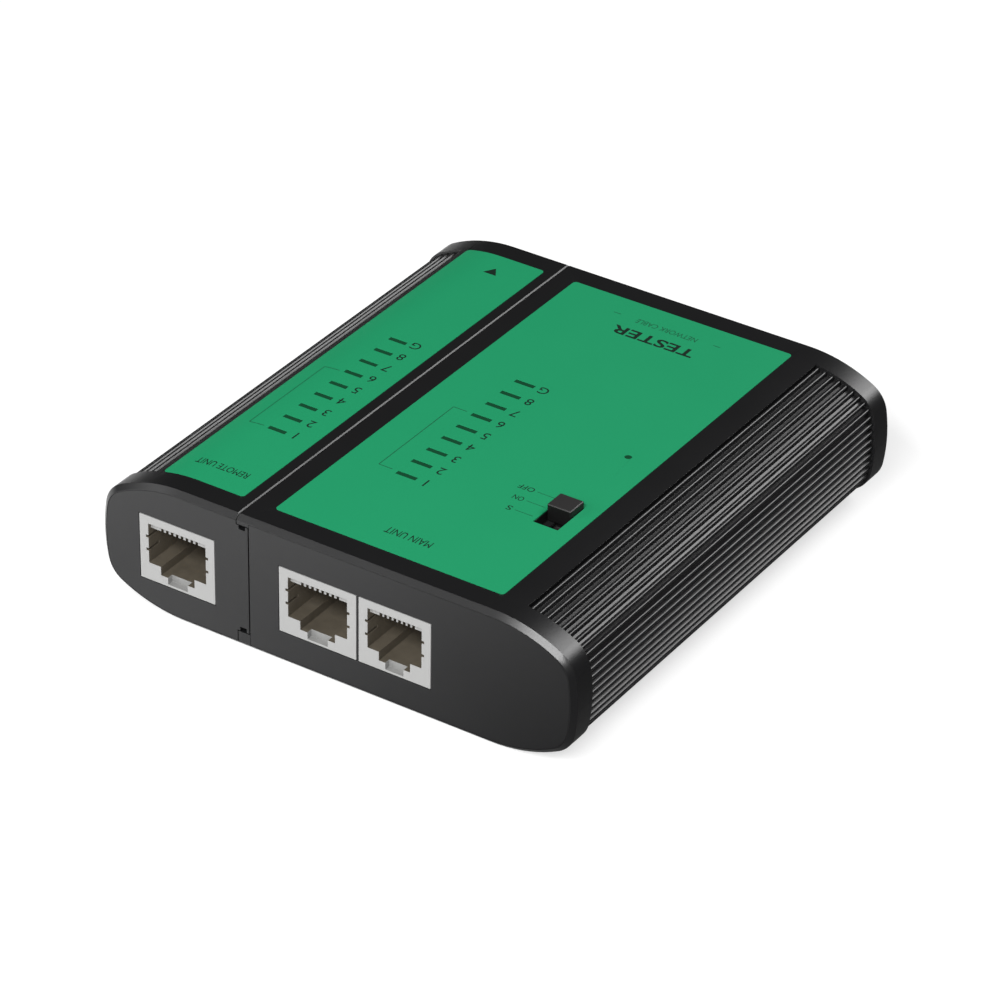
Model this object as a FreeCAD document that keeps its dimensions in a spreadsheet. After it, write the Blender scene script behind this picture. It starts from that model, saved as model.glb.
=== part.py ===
"""Network cable tester: a main unit with three-position switch and two jacks, and a remote
unit that slides along its left side.  Millimetres, +Z up, jacks at -Y, remote unit at -X,
origin at the middle of the underside."""
import FreeCAD
import Part
import Sketcher
import math
import os
import re
from types import SimpleNamespace

V = FreeCAD.Vector
doc = FreeCAD.newDocument("cable_tester")

# ---------------------------------------------------------------- driving dimensions
DRIVING = [
    # the closed case
    ("overall_width", 95.0), ("overall_length", 102.4), ("overall_height", 26.0),
    ("shoulder_run", 16.5), ("shoulder_radius", 27.0), ("corner_radius", 6.0),
    ("side_radius", 32.0), ("wall", 2.0), ("end_chamfer", 0.9),
    # grip ribs on both long sides
    ("rib_pitch", 1.535), ("main_ribs_each_way", 13.0), ("remote_ribs_each_way", 10.0),
    ("rib_crest", 0.7), ("rib_root", 0.45), ("rib_crown", 0.27),
    ("rib_crest_drop", 0.35), ("rib_groove_drop", 1.05), ("grip_margin", 5.2),
    # joint between the two units
    ("remote_width", 28.3), ("seam_gap", 0.12), ("seam_chamfer", 0.2), ("tongue_reach", 2.4),
    ("tongue_top_cover", 1.7), ("tongue_bottom_cover", 3.1), ("rail_wall", 1.6),
    ("hook_width", 0.9), ("hook_height", 0.6), ("hook_gap", 0.2), ("hook_setback", 1.5),
    ("hook_share", 0.4),
    # end panels
    ("panel_thickness", 2.0), ("panel_inset", 1.0), ("panel_gap", 0.05), ("window_gap", 0.12),
    # printed labels
    ("label_thickness", 0.25), ("label_recess", 0.2), ("label_end_margin", 5.2),
    ("label_corner", 0.7), ("label_gap", 0.05), ("main_label_margin", 4.1),
    ("main_label_width", 45.2), ("remote_label_margin", 2.3), ("remote_label_width", 16.6),
    # bar lamps
    ("bar_count", 9.0), ("bar_pitch", 4.52), ("bar_width", 0.95), ("main_bar_length", 3.9),
    ("remote_bar_length", 3.5), ("main_bar_reach", 16.22), ("remote_bar_reach", 10.0),
    ("main_bar_start", 26.1), ("remote_bar_start", 25.6), ("bar_gap", 0.06),
    ("web_thickness", 0.9), ("web_width", 5.0), ("lamp_length", 1.6), ("lamp_width", 0.8),
    ("lamp_height", 0.8), ("lens_radius", 0.6), ("lens_reach", 43.6), ("lens_start", 52.2),
    ("lens_flange", 1.3),
    # jacks
    ("jack_sill", 6.4), ("jack_height", 12.7), ("jack_depth", 18.0), ("jack_standoff", 0.7),
    ("wide_jack_width", 15.5), ("narrow_jack_width", 14.25), ("jack_spacing", 0.5),
    ("wide_mouth", 11.9), ("narrow_mouth", 10.7), ("main_jack_reach", 8.54),
    ("remote_jack_reach", 4.71), ("mouth_top", 1.5), ("mouth_drop", 9.3), ("comb_drop", 2.7),
    ("comb_setback", 0.8), ("latch_drop", 11.0), ("wide_latch", 7.0), ("narrow_latch", 6.2),
    ("wide_throat", 4.1), ("narrow_throat", 3.6), ("throat_depth", 1.2), ("throat_sill", 0.4),
    ("mouth_depth", 14.0), ("notch_upper_drop", 4.1), ("notch_lower_drop", 6.7),
    ("notch_depth", 3.0), ("foot_thickness", 1.8), ("foot_length", 2.0), ("foot_front", 3.0),
    ("foot_back", 4.0), ("foot_root", 0.5),
    ("contact_count", 8.0), ("wide_contact_pitch", 1.02), ("narrow_contact_pitch", 0.92),
    ("contact_radius", 0.18), ("contact_slot", 0.5), ("contact_dip", 5.8),
    ("contact_nose", 0.5), ("contact_run", 8.6),
    # circuit boards
    ("board_thickness", 1.6), ("main_board_width", 44.5), ("board_length", 64.0),
    ("remote_board_width", 18.5), ("board_edge_gap", 1.0),
    # parts on the boards
    ("chip_reach", 13.0), ("chip_start", 8.0), ("chip_length", 10.0), ("chip_width", 4.0),
    ("chip_height", 1.7), ("chip_pins", 8.0), ("chip_pitch", 1.27), ("chip_leg", 1.0),
    ("chip_lift", 0.1), ("resistor_reach", 5.0), ("resistor_length", 2.0),
    ("resistor_width", 1.2), ("resistor_height", 0.6), ("diode_reach", 4.5),
    ("diode_start", 6.0), ("diode_length", 2.7), ("diode_width", 1.6), ("diode_height", 1.1),
    ("diode_count", 8.0), ("capacitor_radius", 2.5), ("capacitor_height", 7.0),
    ("capacitor_reach", 5.0), ("capacitor_start", 30.0),
    # switch
    ("switch_reach", 43.73), ("switch_start", 30.4), ("slot_length", 8.3), ("slot_width", 4.8),
    ("knob_length", 4.2), ("knob_width", 4.7), ("knob_rise", 1.35), ("switch_travel", 4.0),
    ("switch_case_width", 6.6), ("switch_case_length", 12.4), ("switch_case_height", 2.4),
    ("switch_case_wall", 0.4), ("slider_height", 0.9), ("neck_width", 2.0), ("neck_length", 2.4),
    # battery and its cover
    ("battery_width", 26.5), ("battery_height", 17.5), ("battery_body", 46.4),
    ("battery_edge", 2.0), ("battery_share", 0.7), ("battery_gap", 0.15), ("pad_thickness", 1.6),
    ("stud_height", 2.1), ("stud_radius", 2.9), ("stud_spacing", 12.7), ("clip_thickness", 4.0),
    ("cover_length", 58.0), ("cover_gap", 0.15), ("cover_tongue", 0.9),
    ("cover_tongue_height", 0.7), ("cover_tongue_base", 0.75), ("lead_radius", 0.65),
    ("bay_wall", 1.2), ("clip_height", 12.0), ("clip_clearance", 0.5), ("lead_run", 5.0),
    ("lead_reach", 9.0), ("lead_drop", 5.0), ("lead_spread", 1.5), ("cover_ridges", 5.0),
    ("cover_ridge_start", 9.0), ("cover_ridge_pitch", 2.0), ("cover_ridge_reach", 7.0),
    ("cover_ridge_depth", 0.5),
    # fasteners and posts
    ("post_radius", 3.8), ("top_post_radius", 3.0), ("screw_clear", 1.5), ("screw_radius", 1.25),
    ("screw_head_radius", 2.6), ("screw_head_height", 1.8), ("screw_sink_radius", 2.8),
    ("screw_sink_depth", 6.0), ("pilot_gap", 0.05), ("screw_grip", 8.0),
    ("board_post_radius", 2.2), ("board_screw_radius", 0.95), ("board_screw_head", 1.8),
    ("board_screw_height", 1.2), ("board_screw_grip", 2.2), ("post_passage", 0.4),
    # how far each post stands from the ends of the case and from its side or its seam
    ("side_post_start", 11.2), ("seam_post_start", 24.0), ("seam_post_rear", 9.0),
    ("seam_post_reach", 5.0), ("remote_front_post_reach", 11.8),
    ("remote_rear_post_reach", 15.5), ("remote_rear_post_start", 13.0),
    # how far each board screw stands from the board's edges, the jacks and the battery
    ("jack_screw_reach", 3.7), ("jack_screw_start", 14.0), ("bay_screw_reach", 42.1),
    ("bay_screw_start", 9.2), ("rear_screw_reach", 4.0), ("rear_screw_start", 5.0),
    ("remote_screw_reach", 3.6), ("remote_rear_screw_start", 3.5),
    ("remote_front_screw_start", 17.5),
]
sheet = doc.addObject("Spreadsheet::Sheet", "Sizes")
for row, (alias, number) in enumerate(DRIVING, start=1):
    sheet.set(f"A{row}", alias)
    sheet.set(f"B{row}", str(number))
    sheet.setAlias(f"B{row}", alias)
doc.recompute()

# ---------------------------------------------------------------- places worked out from them
DERIVED = [
    ("half_width", "overall_width / 2"), ("half_height", "overall_height / 2"),
    ("front", "0 - overall_length / 2"), ("rear", "overall_length / 2"),
    ("seam", "remote_width - half_width"), ("channel", "seam + tongue_reach"),
    ("tongue_top", "overall_height - tongue_top_cover"),
    ("parting", "half_height - rib_pitch / 2"), ("ceiling", "overall_height - wall"),
    ("panel_back", "front + panel_thickness"), ("rear_panel_face", "rear - panel_thickness"),
    ("main_left", "channel + seam_gap / 2 + wall"), ("remote_right", "seam - rail_wall"),
    ("label_top", "overall_height + label_thickness - label_recess"),
    ("main_label_left", "seam + main_label_margin"),
    ("remote_label_left", "seam - remote_label_margin - remote_label_width"),
    ("label_length", "overall_length - 2 * label_end_margin"),
    ("main_bar_x", "seam + main_bar_reach"), ("remote_bar_x", "seam - remote_bar_reach"),
    ("main_bar_y", "front + main_bar_start"), ("remote_bar_y", "front + remote_bar_start"),
    ("bars_run", "(bar_count - 1) * bar_pitch"),
    ("lens_x", "seam + lens_reach"), ("lens_y", "front + lens_start"),
    ("main_jack_x", "seam + main_jack_reach + wide_jack_width / 2"),
    ("narrow_jack_x",
     "main_jack_x + wide_jack_width / 2 + jack_spacing + narrow_jack_width / 2"),
    ("remote_jack_x", "seam - remote_jack_reach - wide_jack_width / 2"),
    ("jack_top", "jack_sill + jack_height"), ("board_bottom", "jack_top + jack_standoff"),
    ("board_top", "board_bottom + board_thickness"),
    ("board_front", "panel_back + board_edge_gap"),
    ("main_board_left", "main_left + board_edge_gap"),
    ("remote_board_left", "remote_right - board_edge_gap - remote_board_width"),
    ("web_bottom", "ceiling - web_thickness - bar_gap"),
    ("switch_x", "seam + switch_reach"), ("switch_y", "front + switch_start"),
    ("knob_y", "switch_y + switch_travel / 2"),
    ("post_side_x", "half_width - shoulder_run"), ("post_seam_x", "main_left + seam_post_reach"),
    ("bay_left", "post_seam_x + post_radius"), ("bay_right", "post_side_x - post_radius"),
    ("battery_x",
     "bay_left + battery_width / 2 + battery_share * (bay_right - bay_left - battery_width)"),
    ("battery_bottom", "wall + battery_gap"),
    ("battery_rear", "rear_panel_face - pad_thickness"),
    ("battery_front", "battery_rear - battery_body"),
    ("battery_middle", "battery_bottom + battery_height / 2"),
    ("bay_half", "battery_width / 2 + battery_gap"),
    ("cover_front", "rear - cover_length"),
]
places = doc.addObject("App::VarSet", "Places")
SIZE_NAMES = {alias for alias, _ in DRIVING}


def formula(text):
    """Write plain names as references to the sheet of sizes or the set of places."""
    def reference(match):
        word = match.group(0)
        return ("Sizes." if word in SIZE_NAMES else "Places.") + word
    return re.sub(r"[a-z_]+", reference, text)


for name, text in DERIVED:
    places.addProperty("App::PropertyFloat", name, "Derived")
    places.setExpression(name, formula(text))
    doc.recompute()

d = SimpleNamespace(**{alias: float(sheet.get(alias)) for alias, _ in DRIVING},
                    **{name: float(getattr(places, name)) for name, _ in DERIVED})
REACH = 10.0        # how far a cutting tool runs past what it cuts
sub_parts = []


# ---------------------------------------------------------------- helpers for document objects
def bind(obj, **texts):
    """Bind properties to formulas; x, y and z stand for the placement."""
    for prop, text in texts.items():
        path = f".Placement.Base.{prop}" if prop in "xyz" else prop
        obj.setExpression(path, formula(text))
    return obj


def block(name, x, y, z, length, width, height):
    """A box from its low corner and its three sizes, all as formulas."""
    obj = doc.addObject("Part::Box", name)
    return bind(obj, x=x, y=y, z=z, Length=length, Width=width, Height=height)


def rod(name, x, y, z, radius, height, axis=None):
    """A cylinder standing on its base centre, or lying along another axis."""
    obj = doc.addObject("Part::Cylinder", name)
    if axis:
        obj.Placement.Rotation = FreeCAD.Rotation(V(0, 0, 1), axis)
    return bind(obj, x=x, y=y, z=z, Radius=radius, Height=height)


def fused(name, parts):
    obj = doc.addObject("Part::MultiFuse", name)
    obj.Shapes = parts
    return obj


def grouped(name, parts):
    obj = doc.addObject("Part::Compound", name)
    obj.Links = parts
    return obj


def cut(name, base, tools):
    obj = doc.addObject("Part::Cut", name)
    obj.Base = base
    obj.Tool = tools[0] if len(tools) == 1 else fused(name + "_tools", tools)
    return obj


def keep(obj, label):
    """Name an object as one of the finished sub-parts."""
    obj.Label = label
    sub_parts.append(obj)
    return obj


def shaped(label, shape, place=V(0, 0, 0)):
    """A sub-part whose outline follows the case or a bent wire."""
    obj = doc.addObject("Part::Feature", label)
    obj.Shape = shape
    obj.Placement = FreeCAD.Placement(place, FreeCAD.Rotation())
    return keep(obj, label)


# ---------------------------------------------------------------- the case's cross-section
def polar(centre, radius, angle):
    return (centre[0] + radius * math.cos(angle), centre[1] + radius * math.sin(angle))


class Outline:
    """Flat top, shoulder arc, corner arc and bulging side, all tangent, and its mirror images.
    Heights here are measured from the middle of the case."""

    def __init__(self):
        self.flat = d.half_width - d.shoulder_run
        self.shoulder = (self.flat, d.half_height - d.shoulder_radius)
        self.side = (d.half_width - d.side_radius, 0.0)
        near = d.shoulder_radius - d.corner_radius
        far = d.side_radius - d.corner_radius
        run_x = self.side[0] - self.shoulder[0]
        run_z = self.side[1] - self.shoulder[1]
        span = math.hypot(run_x, run_z)
        along = (span ** 2 + near ** 2 - far ** 2) / (2 * span)
        across = math.sqrt(near ** 2 - along ** 2)
        self.corner = (self.shoulder[0] + (run_x * along + run_z * across) / span,
                       self.shoulder[1] + (run_z * along - run_x * across) / span)
        self.upper = math.atan2(self.corner[1] - self.shoulder[1],
                                self.corner[0] - self.shoulder[0])
        self.lower = math.atan2(self.corner[1] - self.side[1], self.corner[0] - self.side[0])

    def wire(self, inset):
        """The closed outline, that far inside the case's surface, in the XZ plane."""
        def vector(point, sign_x, sign_z):
            return V(sign_x * point[0], 0, d.half_height + sign_z * point[1])

        def arc(centre, radius, start, end, sign_x, sign_z):
            points = [polar(centre, radius - inset, angle)
                      for angle in (start, (start + end) / 2, end)]
            return Part.Arc(*[vector(p, sign_x, sign_z) for p in points]).toShape()

        level = d.half_height - inset
        edges = []
        for sign_x in (1, -1):
            for sign_z in (1, -1):
                edges.append(arc(self.shoulder, d.shoulder_radius, math.pi / 2, self.upper,
                                 sign_x, sign_z))
                edges.append(arc(self.corner, d.corner_radius, self.upper, self.lower,
                                 sign_x, sign_z))
            edges.append(arc(self.side, d.side_radius, self.lower, -self.lower, sign_x, 1))
        for sign_z in (1, -1):
            edges.append(Part.makeLine(vector((self.flat, level), -1, sign_z),
                                       vector((self.flat, level), 1, sign_z)))
        return Part.Wire(Part.__sortEdges__(edges))

    def at(self, run, drop, side):
        """A point that far along the surface from the middle of the side, and below it."""
        turn = abs(run)
        side_run = self.lower * d.side_radius
        corner_run = (self.upper - self.lower) * d.corner_radius
        shoulder_run = (math.pi / 2 - self.upper) * d.shoulder_radius
        if turn <= side_run:
            x, z = polar(self.side, d.side_radius - drop, turn / d.side_radius)
        elif turn <= side_run + corner_run:
            angle = self.lower + (turn - side_run) / d.corner_radius
            x, z = polar(self.corner, d.corner_radius - drop, angle)
        elif turn <= side_run + corner_run + shoulder_run:
            angle = self.upper + (turn - side_run - corner_run) / d.shoulder_radius
            x, z = polar(self.shoulder, d.shoulder_radius - drop, angle)
        else:
            x = self.flat - (turn - side_run - corner_run - shoulder_run)
            z = d.half_height - drop
        return V(side * x, 0, d.half_height + math.copysign(z, run if run else 1))


outline = Outline()


def prism(wire, y_from, y_to):
    face = Part.Face(wire)
    face.translate(V(0, y_from, 0))
    return face.extrude(V(0, y_to - y_from, 0))


def solid_box(x_from, x_to, y_from, y_to, z_from, z_to):
    return Part.makeBox(x_to - x_from, y_to - y_from, z_to - z_from, V(x_from, y_from, z_from))


def case_core(inset, y_from=None, y_to=None):
    """The case's outline, inset and extruded, by default right through the case."""
    start = d.front - REACH if y_from is None else y_from
    stop = d.rear + REACH if y_to is None else y_to
    return prism(outline.wire(inset), start, stop)


def rounded_case():
    """The closed case as one block, with its two end edges chamfered."""
    block_shape = case_core(0, d.front, d.rear)
    ends = [edge for edge in block_shape.Edges
            if abs(abs(edge.CenterOfMass.y) - d.rear) < d.panel_gap]
    return block_shape.makeChamfer(d.end_chamfer, ends)


def grip_cutter(side, count):
    """What is cut away to leave the grip ribs standing in a shallow recess, with that many
    ribs above and below the one in the middle of the side. Each rib has a rounded crown."""
    crest = d.rib_crest / 2
    root = crest + (d.rib_pitch - d.rib_crest - d.rib_root) / 2
    shoulder = d.rib_crest_drop + d.rib_crown
    last = count * d.rib_pitch + root
    edges = []
    here = outline.at(-last, -REACH / 5, side)
    for index in range(-count, count + 1):
        run = index * d.rib_pitch
        foot = outline.at(run - root, d.rib_groove_drop, side)
        start = outline.at(run - crest, shoulder, side)
        crown = outline.at(run, d.rib_crest_drop, side)
        stop = outline.at(run + crest, shoulder, side)
        edges.append(Part.makeLine(here, foot))
        edges.append(Part.makeLine(foot, start))
        edges.append(Part.Arc(start, crown, stop).toShape())
        here = outline.at(run + root, d.rib_groove_drop, side)
        edges.append(Part.makeLine(stop, here))
    far = side * (d.half_width + REACH)
    corners = [here, outline.at(last, -REACH / 5, side), V(far, 0, d.overall_height + REACH / 5),
               V(far, 0, -REACH / 5), outline.at(-last, -REACH / 5, side)]
    edges += [Part.makeLine(a, b) for a, b in zip(corners, corners[1:])]
    reach = d.rear - d.grip_margin
    return prism(Part.Wire(edges), -reach, reach)


def seam_bevel(x, z, direction_x, direction_z):
    """A bar with one slanted side that takes the sharp edge off a long seam."""
    over = d.seam_chamfer
    points = [V(x - direction_x * over, 0, z), V(x, 0, z - direction_z * over),
              V(x + direction_x * over, 0, z - direction_z * over),
              V(x + direction_x * over, 0, z + direction_z * over),
              V(x - direction_x * over, 0, z + direction_z * over)]
    return prism(Part.makePolygon(points + points[:1]), d.front - REACH, d.rear + REACH)


# ---------------------------------------------------------------- case regions
half_gap = d.seam_gap / 2
EVERY_Y = (d.front - REACH, d.rear + REACH)
LOW, HIGH = -REACH, d.overall_height + REACH
LEFT, RIGHT = -d.half_width - REACH, d.half_width + REACH
main_edge = d.seam + half_gap
remote_edge = d.seam - half_gap
channel_face = d.channel + half_gap
tongue_tip = d.channel - half_gap
lip_bottom = d.tongue_top + half_gap
lip_top = d.tongue_bottom_cover - half_gap
tongue_high = d.tongue_top - half_gap
tongue_low = d.tongue_bottom_cover + half_gap
hook_x = main_edge + d.hook_share * (d.tongue_reach - d.hook_width)


def main_region():
    """Everything to the right of the joint, with the two lips over the remote's tongue."""
    body = solid_box(channel_face, RIGHT, *EVERY_Y, LOW, HIGH)
    upper_lip = solid_box(main_edge, channel_face, *EVERY_Y, lip_bottom, HIGH)
    lower_lip = solid_box(main_edge, channel_face, *EVERY_Y, LOW, lip_top)
    return body.multiFuse([upper_lip, lower_lip])


def remote_region():
    """Everything to the left of the joint, with the tongue that slides in the channel."""
    body = solid_box(LEFT, remote_edge, *EVERY_Y, LOW, HIGH)
    tongue = solid_box(remote_edge, tongue_tip, *EVERY_Y, tongue_low, tongue_high)
    return body.fuse(tongue)


def hooks():
    """The two small hooks on the main unit's lips, which keep the tongue in its channel."""
    reach = (d.front + d.hook_setback, d.rear - d.hook_setback)
    upper = solid_box(hook_x, hook_x + d.hook_width, *reach,
                      lip_bottom - half_gap - d.hook_height, lip_bottom)
    lower = solid_box(hook_x, hook_x + d.hook_width, *reach,
                      lip_top, lip_top + half_gap + d.hook_height)
    return [upper, lower]


def hook_grooves():
    """The grooves in the tongue that the hooks run in."""
    start, stop = hook_x - d.hook_gap, hook_x + d.hook_width + d.hook_gap
    depth = d.hook_height + d.hook_gap
    upper = solid_box(start, stop, *EVERY_Y, tongue_high - depth, HIGH)
    lower = solid_box(start, stop, *EVERY_Y, LOW, tongue_low + depth)
    return [upper.common(solid_box(LEFT, RIGHT, *EVERY_Y, LOW, tongue_high + half_gap)),
            lower.common(solid_box(LEFT, RIGHT, *EVERY_Y, tongue_low - half_gap, HIGH))]


def end_rebates(side):
    """The seats cut into one unit's two mouths for its front and rear panels."""
    ends = ((d.front - REACH, d.panel_back), (d.rear_panel_face, d.rear + REACH))
    return [case_core(d.panel_inset, start, stop).common(side) for start, stop in ends]


# ---------------------------------------------------------------- posts and fasteners
MAIN_POSTS = [(d.post_side_x, d.front + d.side_post_start),
              (d.post_side_x, d.rear - d.side_post_start),
              (d.post_seam_x, d.front + d.seam_post_start),
              (d.post_seam_x, d.rear - d.seam_post_rear)]
REMOTE_POSTS = [(-d.half_width + d.remote_front_post_reach, d.front + d.seam_post_start),
                (-d.half_width + d.remote_rear_post_reach, d.rear - d.remote_rear_post_start)]
board_rear = d.board_front + d.board_length
MAIN_BOARD_SCREWS = [
    (d.narrow_jack_x + d.narrow_jack_width / 2 + d.jack_screw_reach,
     d.board_front + d.jack_screw_start),
    (d.main_board_left + d.bay_screw_reach, d.battery_front - d.bay_screw_start),
    (d.main_board_left + d.rear_screw_reach, board_rear - d.rear_screw_start),
]
remote_screw_x = d.remote_right - d.remote_screw_reach
REMOTE_BOARD_SCREWS = [(remote_screw_x, board_rear - d.remote_rear_screw_start),
                       (remote_screw_x, d.board_front + d.remote_front_screw_start)]


def upright(x, y, radius, z_from, z_to):
    return Part.makeCylinder(radius, z_to - z_from, V(x, y, z_from))


def top_posts(spots, board_spots):
    """Posts under the ceiling: long ones for the case screws, short ones for the board."""
    posts = []
    for x, y in spots:
        post = upright(x, y, d.top_post_radius, d.parting, d.overall_height)
        posts.append(post)
    for x, y in board_spots:
        posts.append(upright(x, y, d.board_post_radius, d.board_top, d.overall_height))
    core = case_core(d.wall / 2)
    return [post.common(core) for post in posts]


def top_pilots(spots, board_spots):
    """Blind holes in those posts that the screws bite into."""
    pilot = d.screw_radius + d.pilot_gap
    holes = [upright(x, y, pilot, d.parting - REACH, d.parting + d.screw_grip)
             for x, y in spots]
    board_pilot = d.board_screw_radius + d.pilot_gap
    deep = d.board_top + d.board_screw_grip + d.pilot_gap
    return holes + [upright(x, y, board_pilot, d.board_top - d.pilot_gap, deep)
                    for x, y in board_spots]


def bottom_posts(spots):
    core = case_core(d.wall / 2)
    return [upright(x, y, d.post_radius, 0, d.parting).common(core) for x, y in spots]


def bottom_screw_holes(spots):
    """Sunk seats for the case screws, open at the underside."""
    holes = []
    for x, y in spots:
        holes.append(upright(x, y, d.screw_sink_radius, -REACH, d.screw_sink_depth))
        holes.append(upright(x, y, d.screw_clear, -REACH, d.parting + REACH))
    return holes


def cross_slot(x, y, z, radius):
    """The two crossed slots in a screw head, seen from below."""
    width, depth = radius / 4, radius / 3
    reach = radius * 0.7
    first = solid_box(x - reach, x + reach, y - width / 2, y + width / 2, z - 1, z + depth)
    second = solid_box(x - width / 2, x + width / 2, y - reach, y + reach, z - 1, z + depth)
    return first.fuse(second)


def screws(spots, head_z, head_height, head_radius, shaft_radius, tip_z):
    """Screws driven upwards, each with a domed head below and its tip above."""
    solids = []
    for x, y in spots:
        head = upright(x, y, head_radius, head_z, head_z + head_height)
        rim = [edge for edge in head.Edges if abs(edge.BoundBox.ZMax - head_z) < 1e-3]
        head = head.makeFillet(head_height / 3, rim)
        shaft = upright(x, y, shaft_radius, head_z + head_height, tip_z)
        tip = [edge for edge in shaft.Edges if abs(edge.BoundBox.ZMin - tip_z) < 1e-3]
        shaft = shaft.makeChamfer(shaft_radius / 2, tip)
        solids.append(head.fuse(shaft).cut(cross_slot(x, y, head_z, head_radius)))
    return Part.makeCompound([s.Solids[0] for s in solids])


def case_screws(label, spots):
    head_z = d.screw_sink_depth - d.screw_head_height
    tip = d.parting + d.screw_grip - d.screw_radius / 2
    shaped(label, screws(spots, head_z, d.screw_head_height, d.screw_head_radius,
                         d.screw_radius, tip))


def board_screws(label, spots):
    head_z = d.board_bottom - d.board_screw_height
    tip = d.board_top + d.board_screw_grip
    shaped(label, screws(spots, head_z, d.board_screw_height, d.board_screw_head,
                         d.board_screw_radius, tip))


# ---------------------------------------------------------------- labels and lamp bars
def rounded_plate(x_from, x_to, y_from, y_to, radius):
    """An upright block with four rounded corners, for cutting a label or its recess."""
    plate = solid_box(x_from, x_to, y_from, y_to, d.half_height, HIGH)
    return plate.makeFillet(radius, [e for e in plate.Edges
                                     if abs(e.BoundBox.ZLength - HIGH + d.half_height) < 1e-3])


def label_footprint(left, width, grow):
    reach = d.label_length / 2 + grow
    return rounded_plate(left - grow, left + width + grow, -reach, reach,
                         d.label_corner + grow)


def label_recess(left, width):
    ring = case_core(-REACH / 5).cut(case_core(d.label_recess))
    return label_footprint(left, width, d.label_gap).common(ring)


def label_sheet(left, width, openings):
    skin = case_core(d.label_recess - d.label_thickness).cut(case_core(d.label_recess))
    return label_footprint(left, width, 0).common(skin).cut(Part.makeCompound(openings))


def bar_blocks(x, first_y, length, grow, z_from, z_to):
    """The nine lamp bars, one behind the other, or the slots they stand in."""
    bars = []
    for index in range(int(d.bar_count)):
        y = first_y + index * d.bar_pitch
        half = d.bar_width / 2 + grow
        bars.append(solid_box(x - length / 2 - grow, x + length / 2 + grow, y - half, y + half,
                              z_from, z_to))
    return bars


def light_guide(label, x, first_y, length):
    """Clear guide: nine bars that stand in the shell's slots, joined by a web below it."""
    web = solid_box(x - d.web_width / 2, x + d.web_width / 2, first_y - d.bar_width,
                    first_y + d.bars_run + d.bar_width, d.web_bottom,
                    d.ceiling - d.bar_gap)
    bars = bar_blocks(x, first_y, length, 0, d.web_bottom, d.label_top - d.bar_gap)
    shaped(label, web.multiFuse(bars).removeSplitter())


def lamp_row(label, x, first_y):
    """Nine small lamps soldered to the board, one under each bar."""
    lamps = []
    for index in range(int(d.bar_count)):
        y = first_y + index * d.bar_pitch
        lamps.append(solid_box(x - d.lamp_length / 2, x + d.lamp_length / 2,
                               y - d.lamp_width / 2, y + d.lamp_width / 2,
                               d.board_top, d.board_top + d.lamp_height))
    shaped(label, Part.makeCompound(lamps))


# ---------------------------------------------------------------- shells
def switch_slot(grow):
    half_x, half_y = d.slot_width / 2 + grow, d.slot_length / 2 + grow
    return solid_box(d.switch_x - half_x, d.switch_x + half_x, d.switch_y - half_y,
                     d.switch_y + half_y, d.parting, HIGH)


def main_tube():
    """The main unit's case wall, before it is split into its two halves."""
    tube = rounded_case().common(main_region()).multiFuse(hooks())
    hollow = case_core(d.wall).common(solid_box(d.main_left, RIGHT, *EVERY_Y, LOW, HIGH))
    right_side = solid_box(channel_face, RIGHT, *EVERY_Y, LOW, HIGH)
    return tube.cut([hollow, grip_cutter(1, int(d.main_ribs_each_way)),
                     seam_bevel(main_edge, d.overall_height, -1, 1),
                     seam_bevel(main_edge, 0, -1, -1)] + end_rebates(right_side))


def remote_tube():
    """The remote unit's case wall, before it is split into its two halves."""
    tube = rounded_case().common(remote_region())
    hollow = case_core(d.wall).common(solid_box(LEFT, d.remote_right, *EVERY_Y, LOW, HIGH))
    return tube.cut([hollow, grip_cutter(-1, int(d.remote_ribs_each_way)),
                     seam_bevel(remote_edge, d.overall_height, 1, 1),
                     seam_bevel(remote_edge, 0, 1, -1)]
                    + hook_grooves() + end_rebates(remote_region()))


def upper_half(tube):
    return tube.common(solid_box(LEFT, RIGHT, *EVERY_Y, d.parting, HIGH))


def lower_half(tube):
    return tube.common(solid_box(LEFT, RIGHT, *EVERY_Y, LOW, d.parting))


def bay_walls():
    """Two upright walls on the floor that hold the battery from either side."""
    inner = d.bay_half
    walls = []
    for side in (-1, 1):
        near, far = sorted((d.battery_x + side * inner,
                            d.battery_x + side * (inner + d.bay_wall)))
        walls.append(solid_box(near, far, d.cover_front, d.rear_panel_face - d.panel_gap,
                               d.wall / 2, d.parting - d.panel_gap))
    return walls


def cover_opening():
    """The battery opening in the floor, with the grooves that the cover's tongues slide in."""
    half = d.bay_half
    hole = solid_box(d.battery_x - half, d.battery_x + half, d.cover_front - d.cover_gap,
                     d.rear + REACH, LOW, d.wall + d.cover_gap)
    groove = solid_box(d.battery_x - half - d.cover_tongue - d.cover_gap,
                       d.battery_x + half + d.cover_tongue + d.cover_gap,
                       d.cover_front - d.cover_gap, d.rear + REACH,
                       d.cover_tongue_base - d.cover_gap / 2,
                       d.cover_tongue_base + d.cover_tongue_height + d.cover_gap / 2)
    return [hole, groove]


def build_main_shells():
    tube = main_tube()
    top = upper_half(tube).multiFuse(top_posts(MAIN_POSTS, MAIN_BOARD_SCREWS))
    slots = bar_blocks(d.main_bar_x, d.main_bar_y, d.main_bar_length, d.bar_gap,
                       d.board_top, HIGH)
    lens_hole = upright(d.lens_x, d.lens_y, d.lens_radius + d.bar_gap, d.board_top, HIGH)
    tools = slots + [lens_hole, switch_slot(0), label_recess(d.main_label_left,
                                                             d.main_label_width)]
    top = top.cut(tools + top_pilots(MAIN_POSTS, MAIN_BOARD_SCREWS))
    shaped("main_top_shell", top.removeSplitter())
    bottom = lower_half(tube).multiFuse(bottom_posts(MAIN_POSTS) + bay_walls())
    bottom = bottom.cut(bottom_screw_holes(MAIN_POSTS) + cover_opening())
    shaped("main_bottom_shell", bottom.removeSplitter())


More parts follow.
